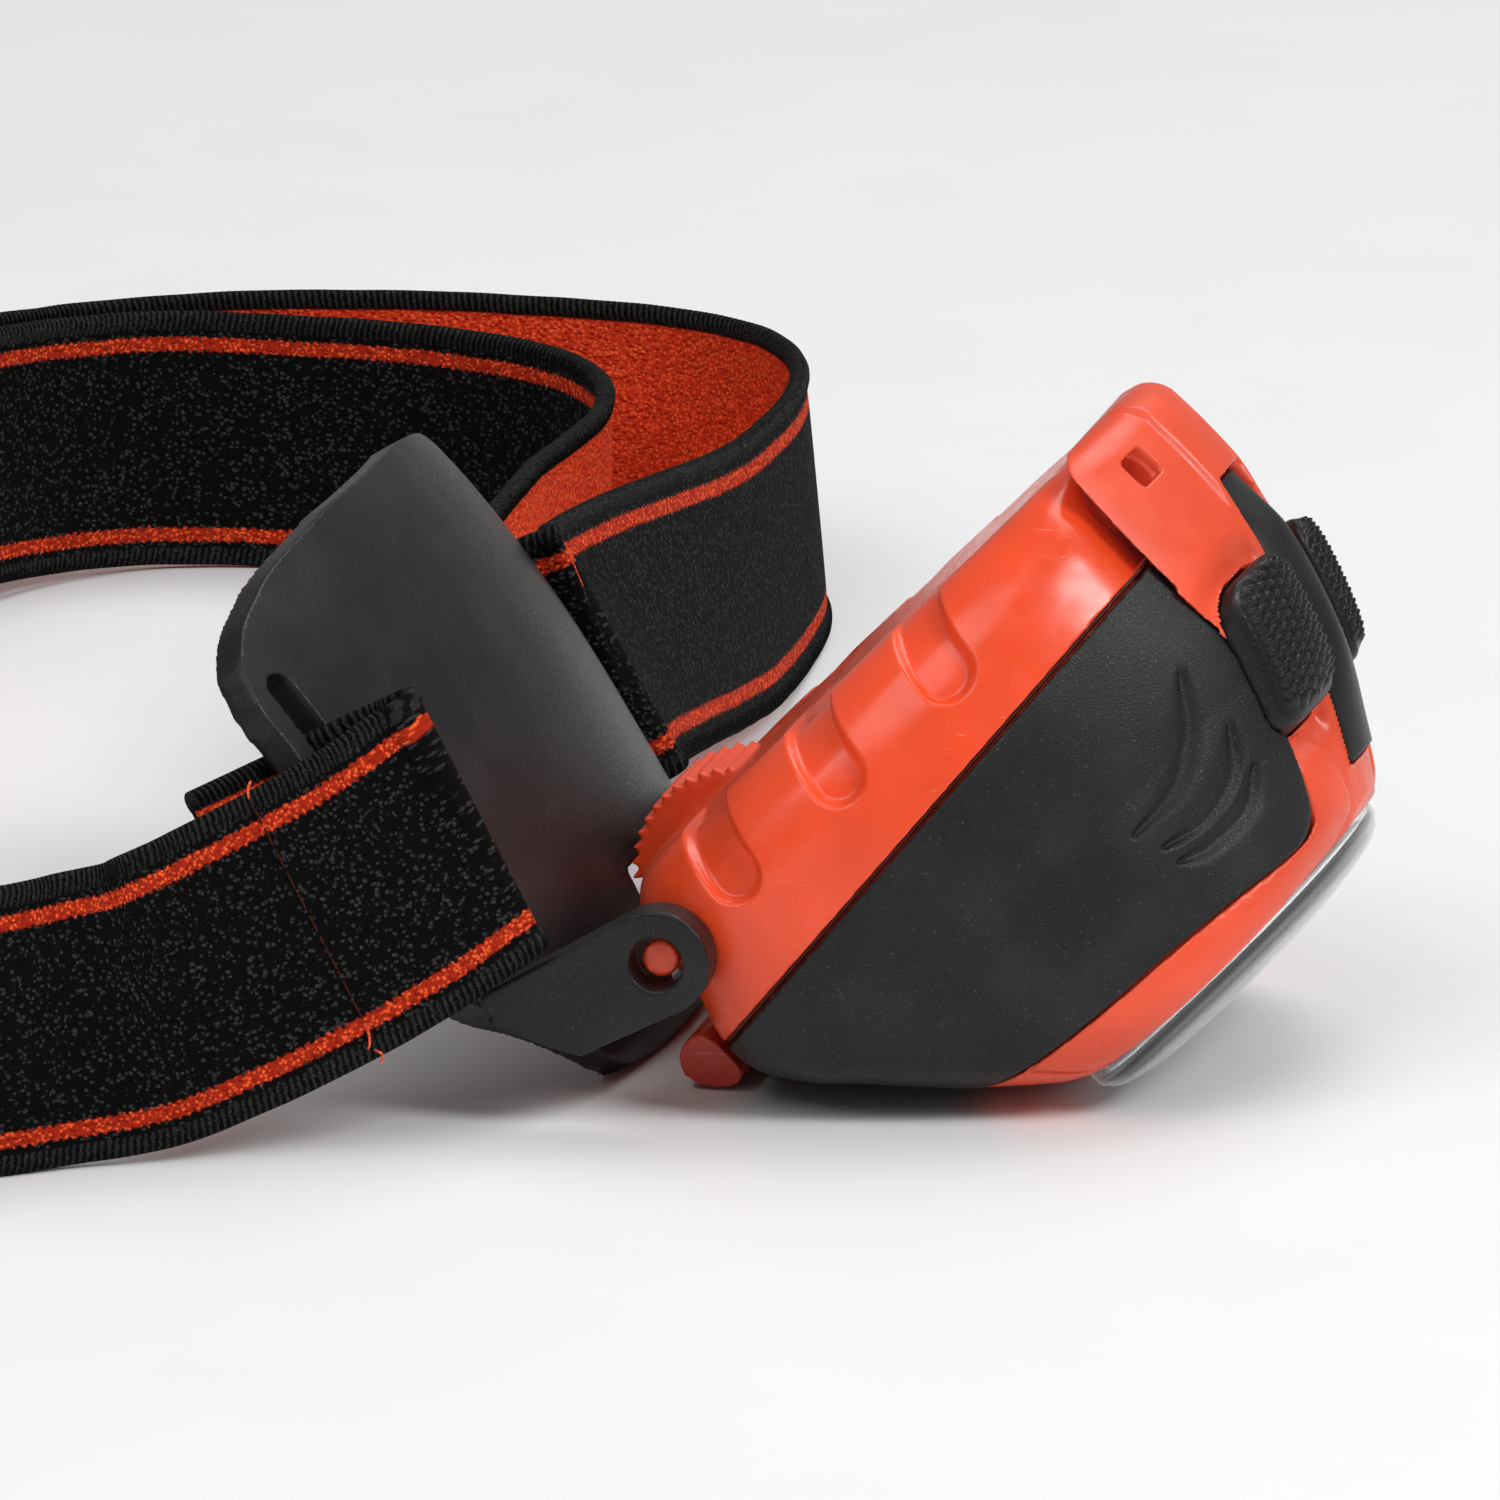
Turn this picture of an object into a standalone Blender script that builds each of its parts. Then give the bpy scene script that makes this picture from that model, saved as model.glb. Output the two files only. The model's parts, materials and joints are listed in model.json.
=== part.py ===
"""Headlamp on its elastic headband: bracket plate, tilting lamp body and battery case.

Every length below is in millimetres and is turned into metres when a mesh is made.
The bench frame has +X forward (the way the lamp points when closed against the plate),
+Y to the lamp's left and +Z up, with the hinge axis above its origin. The lamp frame has
x = depth towards the lens, y = the same +Y, z = height above the hinge axis.
"""
import math

import bmesh
import bpy
import numpy as np
from mathutils import Matrix, Vector

MM = 0.001
GAP = 0.3                      # clearance between touching solids

# ---- driving dimensions ------------------------------------------------------------
FRAME_SHIFT = (36.4, -47.7)    # puts the middle of the whole object's footprint at the origin
HINGE_HEIGHT = 15.0            # hinge axis above the table
LAMP_TILT = 45.0               # lamp leaning forward from upright, degrees
PLATE_LEAN = 29.7              # plate leaning back from upright, degrees

PLATE_HALF_WIDTH = 40.0
PLATE_TOP = 45.5
PLATE_THICKNESS = 2.6
PLATE_BEND_RADIUS = 100.0      # curve of the forehead
SLOT_CENTRE = 36.4
SLOT_WIDTH = 3.0
SLOT_BOTTOM = 4.4
SLOT_TOP = 36.5
EAR_OUTER = 37.0
EAR_THICKNESS = 3.7
EAR_RADIUS = 4.6
PIN_RADIUS = 1.85
PIN_HOLE_RADIUS = 2.1
RATCHET_RADIUS = 9.4
RATCHET_HALF_WIDTH = 5.0

BODY_HALF_WIDTH = 33.0
BODY_REAR = -6.4
BODY_FRONT = 33.5
BODY_SPRING_LINE = 7.0         # height where the upright sides turn into the arched top
SHELL = 1.8
HOOD_LINE = 49.4               # height of the case's top joint, under the hood
HOOD_GROW = 0.9
GRIP_DEPTH = 1.3
SEAM_AT_HINGE = 8.9            # depth of the case seam at hinge height
SEAM_SLOPE = 0.0955            # how much the seam leans back for each mm of height

CELL_RADIUS = 5.2
CELL_LENGTH = 44.5
CELL_HEIGHTS = (4.8, 16.0, 27.2)
CELL_DEPTH = 1.0

WEB_WIDTH = 25.0
WEB_THICKNESS = 1.5

# ---- scene and materials -----------------------------------------------------------
for old in list(bpy.data.objects):
    bpy.data.objects.remove(old, do_unlink=True)

scene = bpy.context.scene
parts = bpy.data.collections.new("headlamp")
cutters = bpy.data.collections.new("cutters")
scene.collection.children.link(parts)
scene.collection.children.link(cutters)


def material(name, colour, roughness, metallic=0.0, alpha=1.0):
    """A Principled material with one colour."""
    made = bpy.data.materials.new(name)
    made.use_nodes = True
    shader = made.node_tree.nodes["Principled BSDF"]
    shader.inputs["Base Color"].default_value = (*colour, 1.0)
    shader.inputs["Roughness"].default_value = roughness
    shader.inputs["Metallic"].default_value = metallic
    shader.inputs["Alpha"].default_value = alpha
    return made


ORANGE = (0.80, 0.09, 0.025)
BLACK = (0.018, 0.018, 0.020)
STEEL = (0.62, 0.61, 0.58)


def empty(name, place, parent=None, tilt=0.0):
    """An empty that carries a group of pieces, turned by tilt degrees about Y."""
    made = bpy.data.objects.new(name, None)
    made.location = [value * MM for value in place]
    made.rotation_euler = (0.0, math.radians(tilt), 0.0)
    made.parent = parent
    parts.objects.link(made)
    return made


FRAME = empty("headlamp_frame", (*FRAME_SHIFT, 0.0))
PLATE = empty("plate_frame", (0.0, 0.0, HINGE_HEIGHT), FRAME, -PLATE_LEAN)
LAMP = empty("lamp_frame", (0.0, 0.0, HINGE_HEIGHT), FRAME, LAMP_TILT)


def add(name, mesh_data, parent, look=None):
    """Link a bmesh as a part, or as a hidden cutter when it has no material."""
    bmesh.ops.recalc_face_normals(mesh_data, faces=mesh_data.faces)
    mesh = bpy.data.meshes.new(name)
    mesh_data.to_mesh(mesh)
    mesh_data.free()
    made = bpy.data.objects.new(name, mesh)
    made.parent = parent
    if look is None:
        made.hide_render = True
        made.display_type = "WIRE"
        cutters.objects.link(made)
        return made
    mesh.materials.append(look)
    mesh.shade_smooth()
    mesh.set_sharp_from_angle(angle=math.radians(35.0))
    parts.objects.link(made)
    return made


def boolean(target, operation, tool):
    """Add a Boolean modifier that joins, cuts or keeps the overlap with another object."""
    step = target.modifiers.new(operation.lower() + "_" + tool.name, "BOOLEAN")
    step.operation = operation
    step.object = tool
    return target


# ---- shape helpers -----------------------------------------------------------------
def loft(rings):
    """A closed solid through rings of equal point count, each a list of (x, y, z) in mm."""
    data = bmesh.new()
    loops = [[data.verts.new(Vector(point) * MM) for point in ring] for ring in rings]
    count = len(loops[0])
    for first, second in zip(loops, loops[1:]):
        for index in range(count):
            after = (index + 1) % count
            data.faces.new((first[index], first[after], second[after], second[index]))
    data.faces.new(list(reversed(loops[0])))
    data.faces.new(loops[-1])
    return data


def box(low, high):
    """A box between two corners in mm."""
    data = bmesh.new()
    bmesh.ops.create_cube(data, size=1.0)
    centre = [(a + b) / 2 * MM for a, b in zip(low, high)]
    size = [(b - a) * MM for a, b in zip(low, high)]
    data.transform(Matrix.Translation(centre) @ Matrix.Diagonal((*size, 1.0)))
    return data


def cylinder(radius, start, end, segments=28, end_radius=None):
    """A cylinder or cone between two points in mm."""
    data = bmesh.new()
    start, end = Vector(start) * MM, Vector(end) * MM
    axis = end - start
    bmesh.ops.create_cone(data, cap_ends=True, segments=segments, radius1=radius * MM,
                          radius2=(radius if end_radius is None else end_radius) * MM,
                          depth=axis.length)
    turn = Vector((0, 0, 1)).rotation_difference(axis.normalized()).to_matrix().to_4x4()
    data.transform(Matrix.Translation((start + end) / 2) @ turn)
    return data


def merge(*pieces):
    """Several separate solids in one bmesh."""
    whole = bmesh.new()
    for piece in pieces:
        mesh = bpy.data.meshes.new("piece")
        piece.to_mesh(mesh)
        piece.free()
        whole.from_mesh(mesh)
        bpy.data.meshes.remove(mesh)
    return whole


def bevelled(data, width, segments=2):
    """Round every edge sharper than 30 degrees."""
    sharp = [edge for edge in data.edges if edge.calc_face_angle(0.0) > math.radians(30.0)]
    bmesh.ops.bevel(data, geom=sharp, offset=width * MM, segments=segments, profile=0.5,
                    affect="EDGES", clamp_overlap=True)
    return data


def prism_y(outline, low, high):
    """A side-view outline of (depth, height) points, carried across from low to high."""
    rings = [[(x, y, z) for x, z in outline] for y in (low, high)]
    return loft(rings)


def prism_x(outline, low, high):
    """A front-view outline of (lateral, height) points, carried along the depth."""
    rings = [[(x, y, z) for y, z in outline] for x in (low, high)]
    return loft(rings)


def rounded_box_outline(half_y, half_z, radius, steps=5, centre=(0.0, 0.0)):
    """Outline of a rectangle with round corners."""
    points = []
    for sign_y, sign_z, start in ((1, 1, 0), (-1, 1, 90), (-1, -1, 180), (1, -1, 270)):
        for step in range(steps + 1):
            angle = math.radians(start + 90.0 * step / steps)
            points.append((centre[0] + sign_y * (half_y - radius) + radius * math.cos(angle),
                           centre[1] + sign_z * (half_z - radius) + radius * math.sin(angle)))
    return points


def through(knots, value):
    """Smooth curve through (place, value) knots: cubic Hermite with secant slopes."""
    places = np.array([knot[0] for knot in knots], float)
    levels = np.array([knot[1] for knot in knots], float)
    slopes = np.gradient(levels, places)
    value = min(max(value, places[0]), places[-1])
    index = min(int(np.searchsorted(places, value, side="right")) - 1, len(places) - 2)
    span = places[index + 1] - places[index]
    t = (value - places[index]) / span
    return float((2 * t**3 - 3 * t**2 + 1) * levels[index]
                 + (t**3 - 2 * t**2 + t) * span * slopes[index]
                 + (3 * t**2 - 2 * t**3) * levels[index + 1]
                 + (t**3 - t**2) * span * slopes[index + 1])


# ---- bracket plate -----------------------------------------------------------------
PLATE_FRONT_KNOTS = ((-9.9, -11.7), (-7.2, -10.0), (-3.0, -8.8), (2.0, -8.3), (12.0, -8.3),
                     (26.0, -9.1), (38.0, -11.1), (45.5, -13.2))
PLATE_WIDTH_KNOTS = ((-9.9, 10.0), (-9.3, 15.5), (-7.8, 20.5), (-5.6, 24.5), (-3.2, 28.0),
                     (0.0, 32.6), (2.4, 36.2), (4.6, 38.6), (8.0, 39.7), (14.0, 40.0),
                     (30.0, 40.0), (36.0, 39.8), (40.0, 37.0), (43.5, 27.0), (45.5, 12.0))
PLATE_ROWS = 17
PLATE_COLUMNS = 20


def plate_front(lateral, height):
    """Depth of the plate's front face."""
    return through(PLATE_FRONT_KNOTS, height) - lateral**2 / (2 * PLATE_BEND_RADIUS)


def make_bracket_plate():
    """Curved forehead plate with two strap slots and the two hinge ears."""
    data = bmesh.new()
    rows = []
    first, last = PLATE_WIDTH_KNOTS[0][0], PLATE_WIDTH_KNOTS[-1][0]
    for row in range(PLATE_ROWS):
        swing = (1.0 - math.cos(math.pi * row / (PLATE_ROWS - 1))) / 2
        height = first + (last - first) * swing
        half = through(PLATE_WIDTH_KNOTS, height)
        laterals = [half * (2 * column / PLATE_COLUMNS - 1) for column in range(PLATE_COLUMNS + 1)]
        rows.append([data.verts.new(Vector((plate_front(y, height), y, height)) * MM)
                     for y in laterals])
    for lower, upper in zip(rows, rows[1:]):
        for column in range(PLATE_COLUMNS):
            data.faces.new((lower[column], lower[column + 1], upper[column + 1], upper[column]))
    look = material("plate_plastic", (0.025, 0.025, 0.027), 0.42)
    plate = add("bracket_plate", data, PLATE, look)
    thick = plate.modifiers.new("thickness", "SOLIDIFY")
    thick.thickness = PLATE_THICKNESS * MM
    thick.offset = -1.0 if plate.data.polygons[0].normal.x > 0 else 1.0
    rim = plate.modifiers.new("rim", "BEVEL")
    rim.width = 0.6 * MM
    rim.segments = 2
    rim.limit_method = "ANGLE"
    rim.angle_limit = math.radians(50.0)
    for side in (-1, 1):
        outline = rounded_box_outline(SLOT_WIDTH / 2, (SLOT_TOP - SLOT_BOTTOM) / 2, 1.45, 4,
                                      (side * SLOT_CENTRE, (SLOT_TOP + SLOT_BOTTOM) / 2))
        name = "slot_cutter_" + ("right" if side < 0 else "left")
        boolean(plate, "DIFFERENCE", add(name, prism_x(outline, -30.0, 0.0), PLATE))
    for side in (-1, 1):
        outer, inner = side * EAR_OUTER, side * (EAR_OUTER - EAR_THICKNESS)
        arc = [(EAR_RADIUS * math.sin(a), EAR_RADIUS * math.cos(a))
               for a in np.radians(np.linspace(0, 180, 15))]
        outline = [(-15.9, 4.4), (-8.0, 4.5)] + arc
        outline += [(-9.8, -4.1), (-12.2, -1.9), (-15.9, 2.3)]
        ear = bevelled(prism_y(outline, min(outer, inner), max(outer, inner)), 0.45)
        name = "right" if side < 0 else "left"
        boolean(plate, "UNION", add("ear_" + name, ear, PLATE))
        hole = cylinder(PIN_HOLE_RADIUS, (0, inner - side * 3, 0), (0, outer + side * 3, 0), 32)
        boolean(plate, "DIFFERENCE", add("pin_hole_" + name, hole, PLATE))
    well = box((-30.0, -RATCHET_HALF_WIDTH - 1.2, -6.4), (0.0, RATCHET_HALF_WIDTH + 1.2, 9.6))
    boolean(plate, "DIFFERENCE", add("ratchet_window", well, PLATE))
    return plate


# ---- lamp outline ------------------------------------------------------------------
TOP_KNOTS = ((-6.4, 54.0), (0.0, 54.3), (5.0, 54.2), (12.0, 53.4), (19.0, 51.3), (26.0, 48.2),
             (30.5, 45.6), (33.5, 43.4))
SIDE_KNOTS = ((-6.4, 33.0), (9.0, 33.0), (15.0, 32.4), (22.0, 30.4), (28.0, 27.8), (33.5, 25.6))
FLOOR_KNOTS = ((-6.4, -4.0), (4.0, -4.4), (9.0, -6.2), (12.0, -6.0), (20.0, 0.8), (27.0, 7.2),
               (33.5, 14.6))
REAR_ROUND_SIDE = 8.0
REAR_ROUND_TOP = 4.5
FRONT_ROUND = 2.6


def round_inset(distance, radius):
    """How far a quarter-round edge of this radius stands in, at a distance from its end."""
    if distance >= radius:
        return 0.0
    return radius - math.sqrt(max(0.0, radius**2 - (radius - distance)**2))


def body_section(depth, grow=0.0, count=56):
    """The lamp's outline of (lateral, height) points at one depth, arched above the hinge."""
    from_rear = max(0.0, depth - BODY_REAR)
    front = round_inset(max(0.0, BODY_FRONT - depth), FRONT_ROUND)
    half = through(SIDE_KNOTS, depth) - round_inset(from_rear, REAR_ROUND_SIDE) - front + grow
    top = through(TOP_KNOTS, depth) - round_inset(from_rear, REAR_ROUND_TOP) - front + grow
    low = through(FLOOR_KNOTS, depth) + round_inset(from_rear, REAR_ROUND_TOP) + front - grow
    waist = max(BODY_SPRING_LINE, low + 9.0)
    points = []
    for index in range(count):
        angle = 2 * math.pi * index / count
        lateral, rise = math.cos(angle), math.sin(angle)
        if rise >= 0.0:
            points.append((half * lateral, waist + (top - waist) * rise))
        else:
            boxy = 2 / 3.4
            points.append((half * math.copysign(abs(lateral)**boxy, lateral),
                           waist - (waist - low) * abs(rise)**boxy))
    return points


def body_solid(depths, grow=0.0, count=56):
    """The lamp's solid outline between the first and last depths."""
    return loft([[(x, y, z) for y, z in body_section(x, grow, count)] for x in depths])


OUTER_DEPTHS = (-6.4, -6.1, -5.4, -4.3, -2.8, -1.0, 2.0, 6.0, 10.0, 14.0, 18.0, 22.0, 26.0, 29.0,
                31.0, 31.9, 32.9, 33.5)
REAR_CUT = tuple(depth for depth in OUTER_DEPTHS if depth <= 14.0)


def seam_outline(low, high, rear):
    """Side view of everything behind (rear) or in front of the slanted case seam."""
    def at(height):
        return SEAM_AT_HINGE - SEAM_SLOPE * height
    if rear:
        return [(-20.0, low), (at(low) - GAP / 2, low), (at(high) - GAP / 2, high), (-20.0, high)]
    return [(at(low) + GAP / 2, low), (60.0, low), (60.0, high), (at(high) + GAP / 2, high)]


GROOVE_HEIGHTS = (9.0, 21.2, 33.2)
GROOVE_RADIUS = 3.2
GROOVE_LIFT = 2.1              # groove's centre line above the skin, leaving it 1.1 deep


def finger_groove(side, height):
    """Rod that follows the case's side round its rear edge, with a rounded front tip."""
    arch = through(TOP_KNOTS, 0.0) - BODY_SPRING_LINE
    angle = math.asin((height - BODY_SPRING_LINE) / arch)
    skin = Vector((BODY_HALF_WIDTH * math.cos(angle), height))
    away = Vector((math.cos(angle) / BODY_HALF_WIDTH, math.sin(angle) / arch)).normalized()
    centre = BODY_REAR + REAR_ROUND_SIDE
    bend = REAR_ROUND_SIDE + GROOVE_LIFT
    path = [(centre + step, 0.0, math.sqrt(GROOVE_RADIUS**2 - (step + 0.9)**2))
            for step in (2.25, 1.8, 0.9)]
    path += [(centre - bend * math.sin(turn), turn, GROOVE_RADIUS)
             for turn in np.radians((0, 15, 30, 45, 60, 75))]
    rings = []
    for depth, turn, radius in path:
        reach = bend * math.cos(turn) - REAR_ROUND_SIDE
        middle = skin + away * reach
        ring = []
        for around in np.radians(np.arange(0, 360, 20)):
            out = radius * math.cos(around)
            along = depth - out * math.sin(turn)
            point = middle + away * out * math.cos(turn)
            point += Vector((-away.y, away.x)) * radius * math.sin(around)
            ring.append((along, side * point.x, point.y))
        rings.append(ring)
    return loft(rings)


def make_rear_cover():
    """Rear half of the battery case, with the hinge pins, the ratchet and the finger grooves."""
    look = material("case_orange", ORANGE, 0.32)
    cover = add("rear_cover", body_solid(REAR_CUT), LAMP, look)
    behind = add("behind_seam", prism_y(seam_outline(-30.0, HOOD_LINE - GAP, True), -60, 60), LAMP)
    boolean(cover, "INTERSECT", behind)
    steps = ((-4.4, 3.3), (-3.6, 2.7), (-2.0, 2.2), (1.0, 1.9), (6.0, SHELL), (9.0, SHELL),
             (11.0, SHELL), (14.0, SHELL))
    inside = add("cover_inside", loft([[(x, y, z) for y, z in body_section(x, -wall, 40)]
                                       for x, wall in steps]), LAMP)
    boolean(inside, "INTERSECT", add("cover_inside_top",
                                     box((-40, -60, -40), (40, 60, HOOD_LINE - SHELL)), LAMP))
    boolean(cover, "DIFFERENCE", inside)
    for side in (-1, 1):
        name = "right" if side < 0 else "left"
        pin = merge(cylinder(PIN_RADIUS, (0, side * 30.5, 0), (0, side * (EAR_OUTER - 0.8), 0), 28))
        boolean(cover, "UNION", add("pin_" + name, pin, LAMP))
        for number, height in enumerate(GROOVE_HEIGHTS):
            cutter = add(f"groove_{name}_{number}", finger_groove(side, height), LAMP)
            boolean(cover, "DIFFERENCE", cutter)
    boolean(cover, "UNION", make_ratchet())
    return cover


def make_ratchet():
    """Toothed sector about the hinge axis, standing out of the cover's back."""
    teeth = 13
    outline = []
    for tooth in range(teeth):
        for part, radius in ((0.0, RATCHET_RADIUS - 0.7), (0.7, RATCHET_RADIUS)):
            angle = math.radians(126.0 + (234.0 - 126.0) * (tooth + part) / teeth)
            outline.append((radius * math.cos(angle), radius * math.sin(angle)))
    outline += [(-5.0, -6.4), (-5.0, 6.4)]
    return add("ratchet", prism_y(outline, -RATCHET_HALF_WIDTH, RATCHET_HALF_WIDTH), LAMP)


# ---- front half --------------------------------------------------------------------
GRIP_SIDE_VIEW = ((-4.0, 49.0), (12.4, 48.9), (16.3, 48.3), (20.5, 47.4), (25.4, 45.6),
                  (29.0, 43.7), (30.6, 41.9), (30.6, 40.2), (29.9, 36.3), (29.2, 29.8),
                  (28.9, 22.0), (28.3, 15.0), (26.8, 8.6), (25.4, 4.0), (23.0, -12.0),
                  (-4.0, -12.0))
BUTTON_DEPTHS = (10.8, 23.4)
BUTTON_LATERALS = (4.9, 13.2)
PANEL_HALF_WIDTH = 4.0


def grown_outline(outline, grow):
    """An outline pushed out from its middle by about grow."""
    middle = Vector((sum(p[0] for p in outline), sum(p[1] for p in outline))) / len(outline)
    result = []
    for point in outline:
        away = Vector(point) - middle
        result.append(tuple(Vector(point) + away.normalized() * grow))
    return result


def grip_region(name, side, grow, depth_limit):
    """The skin of the lamp's side, between the body's surface and depth_limit below it."""
    outline = grown_outline(GRIP_SIDE_VIEW, grow)
    low, high = (12.0 - grow, 60.0) if side > 0 else (-60.0, -12.0 + grow)
    region = add(name, prism_y(outline, low, high), LAMP)
    core = add(name + "_core", body_solid(OUTER_DEPTHS[3:], -depth_limit, 48), LAMP)
    boolean(region, "DIFFERENCE", core)
    return region


def button_outline(side, grow):
    """Plan of a top button, seen from above."""
    centre = (sum(BUTTON_DEPTHS) / 2, side * sum(BUTTON_LATERALS) / 2)
    half = ((BUTTON_DEPTHS[1] - BUTTON_DEPTHS[0]) / 2 + grow,
            (BUTTON_LATERALS[1] - BUTTON_LATERALS[0]) / 2 + grow)
    return rounded_box_outline(half[0], half[1], 2.2 + grow, 4, centre)


def prism_z(outline, low, high):
    """A plan outline of (depth, lateral) points, carried up."""
    return loft([[(x, y, z) for x, y in outline] for z in (low, high)])


def make_front_housing():
    """Front half of the case, with the hood over the rear cover's top."""
    look = material("housing_orange", (0.78, 0.095, 0.035), 0.36)
    housing = add("front_housing", body_solid(OUTER_DEPTHS[2:]), LAMP, look)
    boolean(housing, "INTERSECT",
            add("ahead_of_seam", prism_y(seam_outline(-30.0, 70.0, False), -60, 60), LAMP))
    hood = add("hood", body_solid((-7.2, -6.6, -5.4, -3.0, 0.0, 5.0, 9.0), HOOD_GROW, 56), LAMP)
    boolean(hood, "INTERSECT", add("above_hood_line", box((-30, -60, HOOD_LINE), (40, 60, 80)), LAMP))
    boolean(housing, "UNION", hood)
    inner_depths = (-4.6, -2.0, 4.0, 9.0, 14.0, 20.0, 25.0, 29.5)
    inside = add("housing_inside", body_solid(inner_depths, -SHELL - 1.5, 40), LAMP)
    boolean(housing, "DIFFERENCE", inside)
    mouth = [(y * 0.90, 26.4 + (z - 26.4) * 0.88) for y, z in body_section(31.0, 0.0, 48)]
    boolean(housing, "DIFFERENCE", add("lens_mouth", prism_x(mouth, 24.0, 40.0), LAMP))
    for side in (-1, 1):
        name = "right" if side < 0 else "left"
        boolean(housing, "DIFFERENCE",
                grip_region("grip_bed_" + name, side, GAP, GRIP_DEPTH + GAP))
        window = box((-3.3, side * 10.0 - 1.6, 44.0), (-0.3, side * 10.0 + 1.6, 60.0))
        boolean(housing, "DIFFERENCE", add("hood_window_" + name, window, LAMP))
        well = prism_z(button_outline(side, GAP), 30.0, 60.0)
        boolean(housing, "DIFFERENCE", add("button_well_" + name, well, LAMP))
    bed = add("panel_bed", box((3.6, -PANEL_HALF_WIDTH - GAP, 30), (29.4, PANEL_HALF_WIDTH + GAP, 60)),
              LAMP)
    core = add("panel_bed_core", body_solid(OUTER_DEPTHS[3:], -1.5, 48), LAMP)
    boolean(bed, "DIFFERENCE", core)
    boolean(housing, "DIFFERENCE", bed)
    return housing


def make_grips():
    """Soft rubber side grips lying in the housing's side beds."""
    look = material("grip_rubber", (0.020, 0.021, 0.023), 0.62)
    ahead = add("grip_ahead", prism_y(seam_outline(-30.0, 70.0, False), -60, 60), LAMP)
    for side in (-1, 1):
        name = "right" if side < 0 else "left"
        skin = add(name + "_grip", body_solid(OUTER_DEPTHS[3:]), LAMP, look)
        boolean(skin, "INTERSECT", grip_region("grip_skin_" + name, side, 0.0, GRIP_DEPTH))
        boolean(skin, "INTERSECT", ahead)
        boolean(skin, "DIFFERENCE", bpy.data.objects["button_well_" + name])


def make_top_panel():
    """Black strip let into the lamp's crown, standing a little proud."""
    look = material("panel_black", (0.022, 0.023, 0.026), 0.38)
    panel = add("top_panel", body_solid(OUTER_DEPTHS[3:], 0.7), LAMP, look)
    strip = add("panel_strip", box((3.9, -PANEL_HALF_WIDTH, 30), (29.0, PANEL_HALF_WIDTH, 60)), LAMP)
    core = add("panel_core", body_solid(OUTER_DEPTHS[3:], -1.2, 48), LAMP)
    boolean(strip, "DIFFERENCE", core)
    boolean(panel, "INTERSECT", strip)


def make_buttons():
    """Two knurled rubber buttons on the shoulders of the crown."""
    look = material("button_rubber", (0.016, 0.016, 0.017), 0.6)
    for side in (-1, 1):
        name = "right" if side < 0 else "left"
        button = add(name + "_button", body_solid(OUTER_DEPTHS[3:], 2.0), LAMP, look)
        column = add("button_column_" + name, prism_z(button_outline(side, 0.0), 30.0, 60.0), LAMP)
        core = add("button_core_" + name, body_solid(OUTER_DEPTHS[3:], -3.4, 48), LAMP)
        boolean(column, "DIFFERENCE", core)
        boolean(button, "INTERSECT", column)


def make_optics():
    """Clear lens, orange bezel, reflector and the LED board behind it."""
    glass = material("clear_lens", (0.9, 0.92, 0.93), 0.05, alpha=0.35)
    rim = [(y * 0.885, 26.4 + (z - 26.4) * 0.862) for y, z in body_section(31.0, 0.0, 48)]

    def ring(depth, scale):
        return [(depth, y * scale, 26.4 + (z - 26.4) * scale) for y, z in rim]
    outer = [ring(30.4, 1.0), ring(33.7, 1.0), ring(34.8, 0.96), ring(35.8, 0.86),
             ring(36.5, 0.66), ring(36.8, 0.36)]
    inner = [ring(35.4, 0.34), ring(35.1, 0.62), ring(34.5, 0.82), ring(33.3, 0.91),
             ring(30.4, 0.93)]
    data = bmesh.new()
    loops = [[data.verts.new(Vector(p) * MM) for p in points] for points in outer + inner]
    count = len(rim)
    joints = [(loops[i], loops[i + 1]) for i in range(len(outer) - 1)]
    joints += [(loops[i], loops[i + 1]) for i in range(len(outer), len(loops) - 1)]
    joints.append((loops[-1], loops[0]))
    for first, second in joints:
        for index in range(count):
            after = (index + 1) % count
            data.faces.new((first[index], first[after], second[after], second[index]))
    data.faces.new(loops[len(outer) - 1])
    data.faces.new(loops[len(outer)])
    add("lens", data, LAMP, glass)

    shiny = material("reflector_chrome", (0.85, 0.85, 0.86), 0.12, 1.0)
    bowl = [(30.0, 0.90), (27.0, 0.80), (23.0, 0.58), (19.2, 0.30)]
    back = [(18.2, 0.34), (22.4, 0.64), (26.4, 0.86), (30.0, 0.925)]
    data = bmesh.new()
    loops = [[data.verts.new(Vector(p) * MM) for p in ring(depth, scale)]
             for depth, scale in bowl + back]
    for first, second in zip(loops, loops[1:] + loops[:1]):
        for index in range(count):
            after = (index + 1) % count
            data.faces.new((first[index], first[after], second[after], second[index]))
    add("reflector", data, LAMP, shiny)

    green = material("board_green", (0.03, 0.16, 0.07), 0.45)
    board = rounded_box_outline(19.0, 10.0, 2.0, 4, (0.0, 25.0))
    add("led_board", prism_x(board, 14.4, 16.0), LAMP, green)
    white = material("led_white", (0.92, 0.90, 0.78), 0.3)
    add("main_led", cylinder(3.0, (16.3, 0, 26.4), (18.4, 0, 26.4), 24, 2.2), LAMP, white)
    red = material("led_red", (0.7, 0.05, 0.04), 0.3)
    for side in (-1, 1):
        name = "right" if side < 0 else "left"
        add("red_led_" + name, cylinder(1.5, (16.3, side * 15.5, 26.4), (18.6, side * 15.5, 26.4),
                                        20, 1.1), LAMP, red)
    metal = material("heat_sink_metal", (0.7, 0.7, 0.7), 0.35, 1.0)
    add("heat_sink", box((12.6, -12.0, 18.0), (14.1, 12.0, 33.0)), LAMP, metal)


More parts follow.
